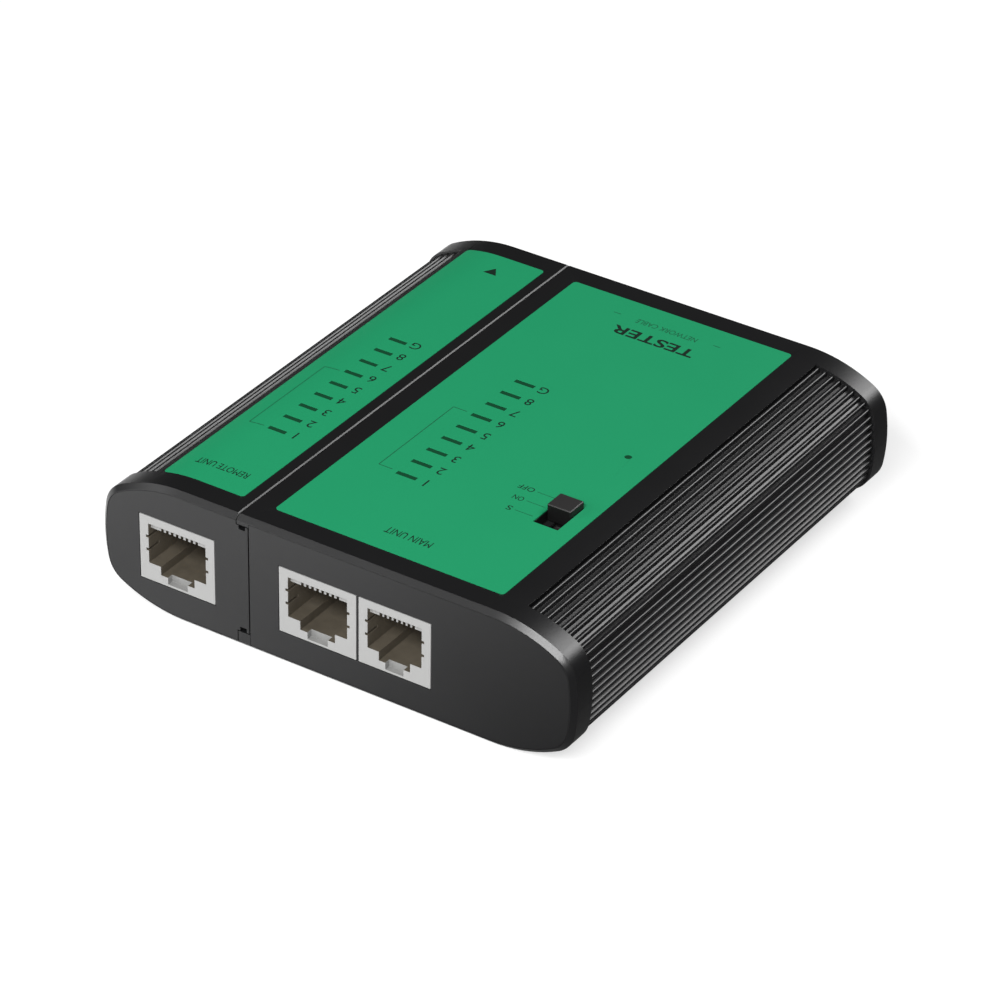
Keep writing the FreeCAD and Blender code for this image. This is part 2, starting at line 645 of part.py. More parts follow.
def build_remote_shells():
    tube = remote_tube()
    top = upper_half(tube).multiFuse(top_posts(REMOTE_POSTS, REMOTE_BOARD_SCREWS))
    slots = bar_blocks(d.remote_bar_x, d.remote_bar_y, d.remote_bar_length, d.bar_gap,
                       d.board_top, HIGH)
    tools = slots + [label_recess(d.remote_label_left, d.remote_label_width)]
    top = top.cut(tools + top_pilots(REMOTE_POSTS, REMOTE_BOARD_SCREWS))
    shaped("remote_top_shell", top.removeSplitter())
    bottom = lower_half(tube).multiFuse(bottom_posts(REMOTE_POSTS))
    bottom = bottom.cut(bottom_screw_holes(REMOTE_POSTS))
    shaped("remote_bottom_shell", bottom.removeSplitter())


# ---------------------------------------------------------------- end panels
def panel(region, y_from, y_to):
    core = case_core(d.panel_inset + d.panel_gap, y_from, y_to)
    return core.common(region)


def jack_window(x, width):
    gap = d.window_gap
    return solid_box(x - width / 2 - gap, x + width / 2 + gap, d.front - REACH,
                     d.panel_back + REACH, d.jack_sill - gap, d.jack_top + gap)


def build_panels():
    gap = d.panel_gap
    front_run = (d.front, d.panel_back - gap)
    rear_run = (d.rear_panel_face + gap, d.rear)
    main_side = solid_box(channel_face + gap, RIGHT, *EVERY_Y, LOW, HIGH)
    remote_side = solid_box(LEFT, remote_edge - gap, *EVERY_Y, LOW, HIGH).fuse(
        solid_box(LEFT, tongue_tip - gap, *EVERY_Y, tongue_low + gap, tongue_high - gap))
    for groove in hook_grooves():
        remote_side = remote_side.cut(groove)
    both_jacks = [jack_window(d.main_jack_x, d.wide_jack_width),
                  jack_window(d.narrow_jack_x, d.narrow_jack_width)]
    shaped("main_front_panel", panel(main_side, *front_run).cut(both_jacks))
    half = d.bay_half + d.cover_tongue + 2 * d.cover_gap
    cover_path = solid_box(d.battery_x - half, d.battery_x + half, d.rear_panel_face - REACH,
                           d.rear + REACH, LOW, d.wall + d.cover_gap)
    shaped("main_rear_panel", panel(main_side, *rear_run).cut(cover_path))
    remote_jack = jack_window(d.remote_jack_x, d.wide_jack_width)
    shaped("remote_front_panel", panel(remote_side, *front_run).cut(remote_jack))
    shaped("remote_rear_panel", panel(remote_side, *rear_run))


# ---------------------------------------------------------------- labels, guides and lamps
def build_labels():
    slots = bar_blocks(d.main_bar_x, d.main_bar_y, d.main_bar_length, d.bar_gap,
                       d.board_top, HIGH)
    lens_hole = upright(d.lens_x, d.lens_y, d.lens_radius + d.bar_gap, d.board_top, HIGH)
    shaped("main_label", label_sheet(d.main_label_left, d.main_label_width,
                                     slots + [lens_hole, switch_slot(d.label_gap)]))
    slots = bar_blocks(d.remote_bar_x, d.remote_bar_y, d.remote_bar_length, d.bar_gap,
                       d.board_top, HIGH)
    shaped("remote_label", label_sheet(d.remote_label_left, d.remote_label_width, slots))


def build_lights():
    light_guide("main_light_guide", d.main_bar_x, d.main_bar_y, d.main_bar_length)
    light_guide("remote_light_guide", d.remote_bar_x, d.remote_bar_y, d.remote_bar_length)
    lamp_row("main_lamps", d.main_bar_x, d.main_bar_y)
    lamp_row("remote_lamps", d.remote_bar_x, d.remote_bar_y)
    pin = rod("lens_pin", "lens_x", "lens_y", "web_bottom", "lens_radius",
              "label_top - bar_gap - web_bottom")
    flange = rod("lens_flange_disc", "lens_x", "lens_y", "web_bottom", "lens_flange",
                 "web_thickness")
    keep(fused("power_lens_body", [pin, flange]), "power_lens")
    keep(block("power_lamp_body", "lens_x - lamp_length / 2", "lens_y - lamp_width / 2",
               "board_top", "lamp_length", "lamp_width", "lamp_height"), "power_lamp")


# ---------------------------------------------------------------- jacks
def jack_body(width, mouth, latch, throat, pitch):
    """A jack housing with its mouth at y = 0, standing on z = 0, centred on x = 0."""
    tall, deep = d.jack_height, d.jack_depth
    housing = solid_box(-width / 2, width / 2, 0, deep, 0, tall)
    floor = tall - d.mouth_drop
    latch_floor = tall - d.latch_drop
    inside = [
        solid_box(-mouth / 2, mouth / 2, -1, d.comb_setback, floor, tall - d.mouth_top),
        solid_box(-mouth / 2, mouth / 2, -1, d.mouth_depth, floor, tall - d.comb_drop),
        solid_box(-latch / 2, latch / 2, -1, d.mouth_depth, latch_floor, floor + 1),
        solid_box(-throat / 2, throat / 2, -1, d.throat_depth, d.throat_sill, floor),
    ]
    slot = d.contact_slot / 2
    rear_slot = deep - d.throat_depth
    for x in contact_places(pitch):
        inside.append(solid_box(x - slot, x + slot, d.comb_setback, rear_slot,
                                tall - d.comb_drop - 1, tall - d.mouth_top))
        inside.append(solid_box(x - slot, x + slot, rear_slot - 2 * d.throat_depth, rear_slot,
                                tall - d.comb_drop - 1, tall + 1))
    notch = d.contact_slot
    for height in (tall - d.notch_upper_drop, tall - d.notch_lower_drop):
        inside.append(solid_box(-mouth / 2 - notch, mouth / 2 + notch, -1, d.notch_depth,
                                height - notch / 2, height + notch / 2))
    feet = [solid_box(left, left + d.foot_thickness, start, start + d.foot_length,
                      tall - d.foot_root, tall + d.jack_standoff)
            for left in (-width / 2, width / 2 - d.foot_thickness)
            for start in (d.foot_front, deep - d.foot_back)]
    return housing.cut(inside).multiFuse(feet).removeSplitter()


def contact_places(pitch):
    count = int(d.contact_count)
    return [(index - (count - 1) / 2) * pitch for index in range(count)]


def rounded_path(points, radius):
    """Straight runs joined by tangent arcs of one radius."""
    edges = []
    start = points[0]
    for before, corner, after in zip(points, points[1:], points[2:]):
        to_before = (before - corner).normalize()
        to_after = (after - corner).normalize()
        half = to_before.getAngle(to_after) / 2
        run = radius / math.tan(half)
        into, out = corner + to_before * run, corner + to_after * run
        bisector = (to_before + to_after).normalize()
        middle = corner + bisector * (radius / math.sin(half) - radius)
        edges.append(Part.makeLine(start, into))
        edges.append(Part.Arc(into, middle, out).toShape())
        start = out
    edges.append(Part.makeLine(start, points[-1]))
    return Part.Wire(edges)


def round_wire(points, bend, radius):
    """A round wire bent along those points."""
    path = rounded_path(points, bend)
    ring = Part.Wire(Part.makeCircle(radius, points[0], points[1] - points[0]))
    return path.makePipeShell([ring], True, False)


def contact_springs(pitch):
    """Gold wires: up through the board, forward under the roof, then folded back down."""
    tall = d.jack_height
    level = tall - d.mouth_top - d.contact_slot / 2
    back = d.jack_depth - 2 * d.throat_depth
    top = tall + d.jack_standoff + d.board_thickness + d.lamp_height
    nose = d.comb_setback + d.contact_nose
    bend = 2.5 * d.contact_radius
    wires = []
    for x in contact_places(pitch):
        points = [V(x, back, top), V(x, back, level), V(x, nose, level),
                  V(x, nose + d.contact_run, tall - d.contact_dip)]
        wires.append(round_wire(points, bend, d.contact_radius))
    return Part.makeCompound(wires)


def build_jacks():
    wide = jack_body(d.wide_jack_width, d.wide_mouth, d.wide_latch, d.wide_throat,
                     d.wide_contact_pitch)
    narrow = jack_body(d.narrow_jack_width, d.narrow_mouth, d.narrow_latch, d.narrow_throat,
                       d.narrow_contact_pitch)
    wide_springs = contact_springs(d.wide_contact_pitch)
    narrow_springs = contact_springs(d.narrow_contact_pitch)
    for name, x, body, springs in (("main_wide_jack", d.main_jack_x, wide, wide_springs),
                                   ("main_narrow_jack", d.narrow_jack_x, narrow,
                                    narrow_springs),
                                   ("remote_jack", d.remote_jack_x, wide, wide_springs)):
        place = V(x, d.front, d.jack_sill)
        shaped(name, body, place)
        shaped(name + "_contacts", springs, place)


# ---------------------------------------------------------------- circuit boards
def origin_plane(body, role):
    return next(item for item in body.Origin.OriginFeatures if item.Role == role)


def new_sketch(body, name):
    sketch = body.newObject("Sketcher::SketchObject", name)
    sketch.AttachmentSupport = [(origin_plane(body, "XY_Plane"), "")]
    sketch.MapMode = "FlatFace"
    return sketch


def dimension(sketch, text, kind, *where):
    """Add a dimension to the sketch and bind it to a formula."""
    index = sketch.addConstraint(Sketcher.Constraint(kind, *where))
    sketch.setExpression(f"Constraints[{index}]", formula(text))


def rectangle(sketch, width, depth, guess_x, guess_y):
    """A rectangle with its low corner on the sketch's origin."""
    corners = [V(0, 0, 0), V(guess_x, 0, 0), V(guess_x, guess_y, 0), V(0, guess_y, 0)]
    for start, stop in zip(corners, corners[1:] + corners[:1]):
        sketch.addGeometry(Part.LineSegment(start, stop), False)
    for index in range(4):
        sketch.addConstraint(Sketcher.Constraint("Coincident", index, 2, (index + 1) % 4, 1))
    for index, kind in enumerate(("Horizontal", "Vertical", "Horizontal", "Vertical")):
        sketch.addConstraint(Sketcher.Constraint(kind, index))
    sketch.addConstraint(Sketcher.Constraint("Coincident", 0, 1, -1, 1))
    dimension(sketch, width, "DistanceX", 0, 1, 0, 2, guess_x)
    dimension(sketch, depth, "DistanceY", 1, 1, 1, 2, guess_y)


def hole(sketch, x, y, radius):
    """A circle placed from the sketch's origin."""
    index = sketch.addGeometry(Part.Circle(V(x, y, 0), V(0, 0, 1), radius), False)
    sketch.addConstraint(Sketcher.Constraint("DistanceX", -1, 1, index, 3, x))
    sketch.addConstraint(Sketcher.Constraint("DistanceY", -1, 1, index, 3, y))
    sketch.addConstraint(Sketcher.Constraint("Radius", index, radius))


def pin_spots(jack_x, pitch):
    """Where a jack's contact wires come up through the board."""
    y = d.front + d.jack_depth - 2 * d.throat_depth
    return [(jack_x + x, y) for x in contact_places(pitch)]


def board(label, left, width, guess_width, drilled):
    """A glass-fibre board: its outline padded, then holes drilled for wires, screws and posts.
    The holes come as pairs of a radius and the places it is drilled at."""
    body = doc.addObject("PartDesign::Body", label + "_body")
    bind(body, x=left, y="board_front", z="board_bottom")
    shape = new_sketch(body, label + "_outline")
    rectangle(shape, width, "board_length", guess_width, d.board_length)
    pad = body.newObject("PartDesign::Pad", label + "_pad")
    pad.Profile = shape
    bind(pad, Length="board_thickness")
    doc.recompute()
    holes = new_sketch(body, label + "_holes")
    start = V(body.Placement.Base)
    for radius, spots in drilled:
        for x, y in spots:
            hole(holes, x - start.x, y - start.y, radius)
    pocket = body.newObject("PartDesign::Pocket", label + "_pocket")
    pocket.Profile = holes
    pocket.Type = "ThroughAll"
    pocket.Reversed = True
    doc.recompute()
    keep(body, label)


def build_boards():
    screw_hole = d.board_screw_radius + d.pilot_gap
    post_hole = d.top_post_radius + d.post_passage
    wire_hole = d.contact_radius + d.pilot_gap
    main_wires = (pin_spots(d.main_jack_x, d.wide_contact_pitch)
                  + pin_spots(d.narrow_jack_x, d.narrow_contact_pitch))
    board("main_circuit_board", "main_board_left", "main_board_width", d.main_board_width,
          [(wire_hole, main_wires), (screw_hole, MAIN_BOARD_SCREWS),
           (post_hole, [MAIN_POSTS[0], MAIN_POSTS[2]])])
    board("remote_circuit_board", "remote_board_left", "remote_board_width",
          d.remote_board_width,
          [(wire_hole, pin_spots(d.remote_jack_x, d.wide_contact_pitch)),
           (screw_hole, REMOTE_BOARD_SCREWS), (post_hole, REMOTE_POSTS[:1])])


def chip(label, x, y):
    """A small-outline chip lying on the board, with a row of legs along each long side."""
    base = d.board_top
    length, width, height = d.chip_length, d.chip_width, d.chip_height
    body = solid_box(x - length / 2, x + length / 2, y - width / 2, y + width / 2,
                     base + d.chip_lift, base + height)
    leg = d.chip_pitch / 6
    legs = []
    for index in range(int(d.chip_pins)):
        leg_x = x + (index - (d.chip_pins - 1) / 2) * d.chip_pitch
        for side in (-1, 1):
            near, far = sorted((y + side * width / 2, y + side * (width / 2 + d.chip_leg)))
            legs.append(solid_box(leg_x - leg, leg_x + leg, near, far, base,
                                  base + height / 2))
    shaped(label, body.multiFuse(legs))


def small_blocks(label, spots, length, width, height):
    """Chip resistors or diodes lying on the board."""
    shaped(label, Part.makeCompound([
        solid_box(x - length / 2, x + length / 2, y - width / 2, y + width / 2,
                  d.board_top, d.board_top + height) for x, y in spots]))


def build_components():
    chip("sequencer_chip", d.main_bar_x + d.chip_reach, d.main_bar_y + d.chip_start)
    rows = [index * d.bar_pitch for index in range(int(d.bar_count))]
    beside_bars = [(d.main_bar_x + d.resistor_reach, d.main_bar_y + run) for run in rows]
    small_blocks("main_resistors", beside_bars, d.resistor_length, d.resistor_width,
                 d.resistor_height)
    between_bars = [(d.remote_bar_x - d.diode_reach, d.remote_bar_y + d.diode_start + run)
                    for run in rows[:int(d.diode_count)]]
    small_blocks("remote_diodes", between_bars, d.diode_length, d.diode_width, d.diode_height)
    can = rod("capacitor_can", "main_board_left + capacitor_reach",
              "board_front + capacitor_start", "board_bottom - capacitor_height",
              "capacitor_radius", "capacitor_height")
    keep(can, "reservoir_capacitor")


# ---------------------------------------------------------------- switch
def build_switch():
    """Sheet-metal case on the board, and a knob whose slider runs inside it."""
    outer = block("switch_case_outer", "switch_x - switch_case_width / 2",
                  "switch_y - switch_case_length / 2", "board_top", "switch_case_width",
                  "switch_case_length", "switch_case_height")
    inner = block("switch_case_inner", "switch_x - switch_case_width / 2 + switch_case_wall",
                  "switch_y - switch_case_length / 2 + switch_case_wall",
                  "board_top + switch_case_wall", "switch_case_width - 2 * switch_case_wall",
                  "switch_case_length - 2 * switch_case_wall",
                  "switch_case_height - 2 * switch_case_wall")
    slot = block("switch_case_slot", "switch_x - neck_width / 2 - bar_gap * 2",
                 "switch_y - (neck_length + switch_travel) / 2 - bar_gap * 2",
                 "board_top + switch_case_height / 2", "neck_width + 4 * bar_gap",
                 "neck_length + switch_travel + 4 * bar_gap", "switch_case_height")
    keep(cut("switch_case_body", outer, [inner, slot]), "switch_case")
    slider = block("knob_slider", "switch_x - neck_width", "knob_y - neck_length",
                   "board_top + switch_case_wall + bar_gap", "2 * neck_width",
                   "2 * neck_length", "slider_height")
    neck = block("knob_neck", "switch_x - neck_width / 2", "knob_y - neck_length / 2",
                 "board_top + switch_case_wall + bar_gap", "neck_width", "neck_length",
                 "ceiling - board_top")
    cap = block("knob_cap", "switch_x - knob_width / 2", "knob_y - knob_length / 2",
                "ceiling + 2 * bar_gap", "knob_width", "knob_length",
                "label_top + knob_rise - ceiling - 2 * bar_gap")
    keep(fused("knob_body", [slider, neck, cap]), "switch_knob")


# ---------------------------------------------------------------- battery
def build_battery():
    cell = block("battery_block", "battery_x - battery_width / 2", "battery_front",
                 "battery_bottom", "battery_width", "battery_body", "battery_height")
    doc.recompute()
    edges = [index + 1 for index, edge in enumerate(cell.Shape.Edges)
             if abs(edge.BoundBox.YLength - d.battery_body) < 1e-3]
    case = doc.addObject("Part::Fillet", "battery_case")
    case.Base = cell
    case.Edges = [(index, d.battery_edge, d.battery_edge) for index in edges]
    keep(case, "battery")
    toward_front = V(0, -1, 0)
    studs = [rod(f"battery_stud_{side}", f"battery_x {sign} stud_spacing / 2", "battery_front",
                 "battery_middle", "stud_radius", "stud_height", toward_front)
             for side, sign in (("left", "-"), ("right", "+"))]
    keep(grouped("battery_studs", studs), "battery_terminals")
    plate = block("clip_plate", "battery_x - battery_width / 2 + battery_edge",
                  "battery_front - clip_thickness", "battery_middle - clip_height / 2",
                  "battery_width - 2 * battery_edge", "clip_thickness - clip_clearance",
                  "clip_height")
    sockets = [rod(f"clip_socket_{side}", f"battery_x {sign} stud_spacing / 2",
                   "battery_front", "battery_middle", "stud_radius + pilot_gap",
                   "stud_height + pilot_gap", toward_front)
               for side, sign in (("left", "-"), ("right", "+"))]
    keep(cut("clip_body", plate, sockets), "battery_connector")
    keep(block("pad_block", "battery_x - battery_width / 3", "battery_rear",
               "battery_middle - battery_height / 4", "2 * battery_width / 3",
               "pad_thickness", "battery_height / 2"), "battery_foam_pad")


def battery_lead(label, offset, x_at_board):
    """A lead from the snap connector up to the underside of the board."""
    start_y = d.battery_front - d.clip_thickness
    x = d.battery_x + offset
    board_y = start_y - d.lead_reach
    points = [V(x, start_y, d.battery_middle), V(x, start_y - d.lead_run, d.battery_middle),
              V(x_at_board, board_y, d.board_bottom - d.lead_drop),
              V(x_at_board, board_y, d.board_bottom)]
    bend = 3.0 * d.lead_radius
    shaped(label, round_wire(points, bend, d.lead_radius))


def build_battery_cover():
    """Flat cover flush with the underside, with a tongue along each side."""
    half = d.bay_half - d.cover_gap
    plate = solid_box(d.battery_x - half, d.battery_x + half, d.cover_front, d.rear, 0, d.wall)
    tongues = solid_box(d.battery_x - half - d.cover_tongue, d.battery_x + half + d.cover_tongue,
                        d.cover_front, d.rear, d.cover_tongue_base,
                        d.cover_tongue_base + d.cover_tongue_height)
    ridges = []
    for index in range(int(d.cover_ridges)):
        y = d.cover_front + d.cover_ridge_start + index * d.cover_ridge_pitch
        ridges.append(solid_box(d.battery_x - d.cover_ridge_reach,
                                d.battery_x + d.cover_ridge_reach, y,
                                y + d.cover_ridge_pitch / 2, LOW, d.cover_ridge_depth))
    cover = plate.fuse(tongues).common(rounded_case()).cut(ridges)
    shaped("battery_cover", cover.removeSplitter())


# ---------------------------------------------------------------- build
build_main_shells()
build_remote_shells()
build_panels()
build_labels()
build_lights()
build_jacks()
build_boards()
build_components()
build_switch()
build_battery()
battery_lead("battery_lead_positive", d.stud_spacing / 2, d.battery_x + d.lead_spread)
battery_lead("battery_lead_negative", -d.stud_spacing / 2, d.battery_x - d.lead_spread)
build_battery_cover()
case_screws("main_case_screws", MAIN_POSTS)
case_screws("remote_case_screws", REMOTE_POSTS)
board_screws("main_board_screws", MAIN_BOARD_SCREWS)
board_screws("remote_board_screws", REMOTE_BOARD_SCREWS)
doc.recompute()

# ---------------------------------------------------------------- check and write
for obj in doc.Objects:
    if any(word in obj.State for word in ("Invalid", "Error")):
        raise SystemExit(f"{obj.Label} did not rebuild: {obj.State}")
os.makedirs("parts", exist_ok=True)
for obj in sub_parts:
    shape = obj.Shape
    if shape.isNull() or not shape.isValid() or not shape.Solids:
        raise SystemExit(f"{obj.Label} has no valid solid")
for obj in sub_parts:
    obj.Shape.exportStep(os.path.join("parts", obj.Label + ".step"))
    print(f"{obj.Label:28s} solids {len(obj.Shape.Solids)}  volume {obj.Shape.Volume:10.2f}")
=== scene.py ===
import math

import bmesh
import bpy
from mathutils import Matrix, Vector


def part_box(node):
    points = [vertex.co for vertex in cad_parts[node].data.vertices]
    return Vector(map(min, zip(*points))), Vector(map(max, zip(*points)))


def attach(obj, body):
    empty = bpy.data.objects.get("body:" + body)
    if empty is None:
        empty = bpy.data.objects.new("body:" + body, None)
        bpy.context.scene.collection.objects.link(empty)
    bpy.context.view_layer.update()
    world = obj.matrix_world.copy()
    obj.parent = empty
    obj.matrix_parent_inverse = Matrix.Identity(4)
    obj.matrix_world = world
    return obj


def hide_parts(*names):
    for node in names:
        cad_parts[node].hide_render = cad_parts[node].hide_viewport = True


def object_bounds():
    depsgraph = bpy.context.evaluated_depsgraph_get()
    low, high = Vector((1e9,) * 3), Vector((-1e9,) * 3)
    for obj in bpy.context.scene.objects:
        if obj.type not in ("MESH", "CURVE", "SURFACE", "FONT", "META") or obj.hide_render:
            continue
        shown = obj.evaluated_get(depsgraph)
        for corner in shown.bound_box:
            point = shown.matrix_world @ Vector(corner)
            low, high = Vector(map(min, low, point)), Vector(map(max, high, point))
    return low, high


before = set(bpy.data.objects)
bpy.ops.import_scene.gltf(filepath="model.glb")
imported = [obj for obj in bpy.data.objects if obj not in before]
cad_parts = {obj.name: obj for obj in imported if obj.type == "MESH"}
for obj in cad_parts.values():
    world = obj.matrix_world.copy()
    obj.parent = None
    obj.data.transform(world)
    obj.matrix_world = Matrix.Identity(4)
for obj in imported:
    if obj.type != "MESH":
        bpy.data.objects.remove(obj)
cad_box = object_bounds()
MM = 0.001


# ---------------------------------------------------------------- studio
# A pale sheet under the tester, a softbox behind its right shoulder, a long slanting key
# above its front edge and a weak fill from the front left. A graded card, which only the
# gloss of the plastic sees, keeps the sheet's glare off the ribs.
def lay_sheet(name, low, high, height, colour, roughness, glow=0.0):
    mesh = bpy.data.meshes.new(name)
    corners = [(low[0], low[1], height), (high[0], low[1], height),
               (high[0], high[1], height), (low[0], high[1], height)]
    mesh.from_pydata(corners, [], [(0, 1, 2, 3)])
    sheet = bpy.data.objects.new(name, mesh)
    bpy.context.scene.collection.objects.link(sheet)
    paper = bpy.data.materials.new(name)
    paper.use_nodes = True
    shader = paper.node_tree.nodes["Principled BSDF"]
    shader.inputs["Base Color"].default_value = (*colour, 1.0)
    shader.inputs["Roughness"].default_value = roughness
    shader.inputs["Specular IOR Level"].default_value = 0.0
    shader.inputs["Emission Color"].default_value = (1.0, 1.0, 1.0, 1.0)
    shader.inputs["Emission Strength"].default_value = glow
    mesh.materials.append(paper)
    return sheet


def hang_softbox(name, towards, distance, width, height, power, roll=0.0):
    """A rectangular light facing the tester from that direction, rolled by so many degrees."""
    lamp = bpy.data.lights.new(name, "AREA")
    lamp.shape = "RECTANGLE"
    lamp.size = width
    lamp.size_y = height
    lamp.energy = power
    light = bpy.data.objects.new(name, lamp)
    away = Vector(towards).normalized()
    light.location = away * distance
    facing = away.to_track_quat("Z", "Y").to_matrix() @ Matrix.Rotation(math.radians(roll), 3, "Z")
    light.rotation_euler = facing.to_euler()
    bpy.context.scene.collection.objects.link(light)
    return light


floor_height = cad_box[0][2]
sheet_reach = 4.0
near_corner = (-sheet_reach, -sheet_reach)
far_corner = (sheet_reach, sheet_reach)
paper_roughness = 0.9
floor = lay_sheet("floor", near_corner, far_corner, floor_height, (0.42, 0.42, 0.42),
                  paper_roughness, glow=0.62)
floor.visible_glossy = False

# The card that the plastic reflects: pale to the left and almost black to the right.
card_lift = 0.05 * MM
card = lay_sheet("graded_card", near_corner, far_corner, floor_height + card_lift,
                 (0.5, 0.5, 0.5), paper_roughness)
card_nodes = card.data.materials[0].node_tree.nodes
card_links = card.data.materials[0].node_tree.links
card_place = card_nodes.new("ShaderNodeTexCoord")
card_split = card_nodes.new("ShaderNodeSeparateXYZ")
card_fade = card_nodes.new("ShaderNodeMapRange")
card_fade.interpolation_type = "SMOOTHSTEP"
fade_start, fade_end = -50 * MM, 70 * MM
pale, nearly_black = 1.0, 0.04
card_fade.inputs["From Min"].default_value = fade_start
card_fade.inputs["From Max"].default_value = fade_end
card_fade.inputs["To Min"].default_value = pale
card_fade.inputs["To Max"].default_value = nearly_black
card_links.new(card_place.outputs["Object"], card_split.inputs["Vector"])
card_links.new(card_split.outputs["X"], card_fade.inputs["Value"])
card_links.new(card_fade.outputs["Result"], card_nodes["Principled BSDF"].inputs["Base Color"])
for kind in ("camera", "diffuse", "shadow", "transmission"):
    setattr(card, f"visible_{kind}", False)

hang_softbox("softbox_rear_right", (0.38, 0.7, 0.62), distance=0.9, width=0.4, height=0.38,
             power=4.5)
hang_softbox("softbox_front_key", (0.21, -0.71, 0.67), distance=1.05, width=0.78, height=0.2,
             power=14.3, roll=-39)
hang_softbox("softbox_front_left", (-0.75, -0.75, 0.45), distance=1.0, width=0.6, height=0.5,
             power=3.2)

# The room is dark to everything but the eye, so that only the softboxes show in the plastic.
room_dark, room_white = 0.04, 1.0
surround = bpy.data.worlds.new("studio_dark")
surround.use_nodes = True
room = surround.node_tree.nodes["Background"]
room.inputs["Color"].default_value = (1.0, 1.0, 1.0, 1.0)
seen = surround.node_tree.nodes.new("ShaderNodeLightPath")
room_level = surround.node_tree.nodes.new("ShaderNodeMapRange")
room_level.inputs["To Min"].default_value = room_dark
room_level.inputs["To Max"].default_value = room_white
surround.node_tree.links.new(seen.outputs["Is Camera Ray"], room_level.inputs["Value"])
surround.node_tree.links.new(room_level.outputs["Result"], room.inputs["Strength"])
bpy.context.scene.world = surround
bpy.context.scene.view_settings.view_transform = "Standard"

camera_azimuth = math.radians(32.83)
camera_elevation = math.radians(32.47)
camera_roll = math.radians(1.01)
camera_distance = 807.3 * MM
camera_aim = Vector((-2.6, 3.2, 6.5)) * MM
lens_data = bpy.data.cameras.new("camera")
lens_data.sensor_width = 36.0
lens_data.lens = 167.3
camera = bpy.data.objects.new("camera", lens_data)
back = Vector((math.sin(camera_azimuth) * math.cos(camera_elevation),
               -math.cos(camera_azimuth) * math.cos(camera_elevation),
               math.sin(camera_elevation)))
turn = (Matrix.Rotation(camera_azimuth, 4, "Z")
        @ Matrix.Rotation(math.pi / 2 - camera_elevation, 4, "X")
        @ Matrix.Rotation(camera_roll, 4, "Z"))
camera.matrix_world = Matrix.Translation(camera_aim + back * camera_distance) @ turn
bpy.context.scene.collection.objects.link(camera)
bpy.context.scene.camera = camera


# ---------------------------------------------------------------- circuit boards
# Two glass-fibre boards hang under the ceiling of the two units, one in each. They are
# green with copper tracks under the lacquer, and the jacks and lamps are soldered to them.
def grain_group():
    """A fine unevenness that every moulded, printed and plated surface of the tester shares:
    it shifts the colour a little, spreads the roughness and gives a height for bump."""
    group = bpy.data.node_groups.new("surface_grain", "ShaderNodeTree")
    for name, kind, usual in (("Color", "NodeSocketColor", (0.5, 0.5, 0.5, 1.0)),
                              ("Color Shift", "NodeSocketFloat", 0.1),
                              ("Grains per Metre", "NodeSocketFloat", 3000.0),
                              ("Roughness", "NodeSocketFloat", 0.4),
                              ("Roughness Spread", "NodeSocketFloat", 0.08)):
        socket = group.interface.new_socket(name=name, in_out="INPUT", socket_type=kind)
        socket.default_value = usual
    group.interface.new_socket(name="Color", in_out="OUTPUT", socket_type="NodeSocketColor")
    group.interface.new_socket(name="Roughness", in_out="OUTPUT", socket_type="NodeSocketFloat")
    group.interface.new_socket(name="Height", in_out="OUTPUT", socket_type="NodeSocketFloat")
    nodes, links = group.nodes, group.links
    given = nodes.new("NodeGroupInput")
    result = nodes.new("NodeGroupOutput")
    place = nodes.new("ShaderNodeTexCoord")
    fine = nodes.new("ShaderNodeTexNoise")
    fine.inputs["Detail"].default_value = 3.0
    broad = nodes.new("ShaderNodeTexNoise")
    broad.inputs["Scale"].default_value = 60.0
    broad.inputs["Detail"].default_value = 4.0
    links.new(place.outputs["Object"], fine.inputs["Vector"])
    links.new(place.outputs["Object"], broad.inputs["Vector"])
    links.new(given.outputs["Grains per Metre"], fine.inputs["Scale"])
    mixed = nodes.new("ShaderNodeMath")
    mixed.operation = "ADD"
    links.new(fine.outputs["Fac"], mixed.inputs[0])
    links.new(broad.outputs["Fac"], mixed.inputs[1])
    swing = nodes.new("ShaderNodeMath")
    swing.operation = "SUBTRACT"
    swing.inputs[1].default_value = 1.0
    links.new(mixed.outputs[0], swing.inputs[0])
    shift = nodes.new("ShaderNodeMath")
    shift.operation = "MULTIPLY_ADD"
    shift.inputs[2].default_value = 1.0
    links.new(swing.outputs[0], shift.inputs[0])
    links.new(given.outputs["Color Shift"], shift.inputs[1])
    tint = nodes.new("ShaderNodeVectorMath")
    tint.operation = "SCALE"
    links.new(given.outputs["Color"], tint.inputs[0])
    links.new(shift.outputs[0], tint.inputs["Scale"])
    links.new(tint.outputs["Vector"], result.inputs["Color"])
    rough = nodes.new("ShaderNodeMath")
    rough.operation = "MULTIPLY_ADD"
    links.new(swing.outputs[0], rough.inputs[0])
    links.new(given.outputs["Roughness Spread"], rough.inputs[1])
    links.new(given.outputs["Roughness"], rough.inputs[2])
    links.new(rough.outputs[0], result.inputs["Roughness"])
    links.new(fine.outputs["Fac"], result.inputs["Height"])
    return group


GRAIN = grain_group()


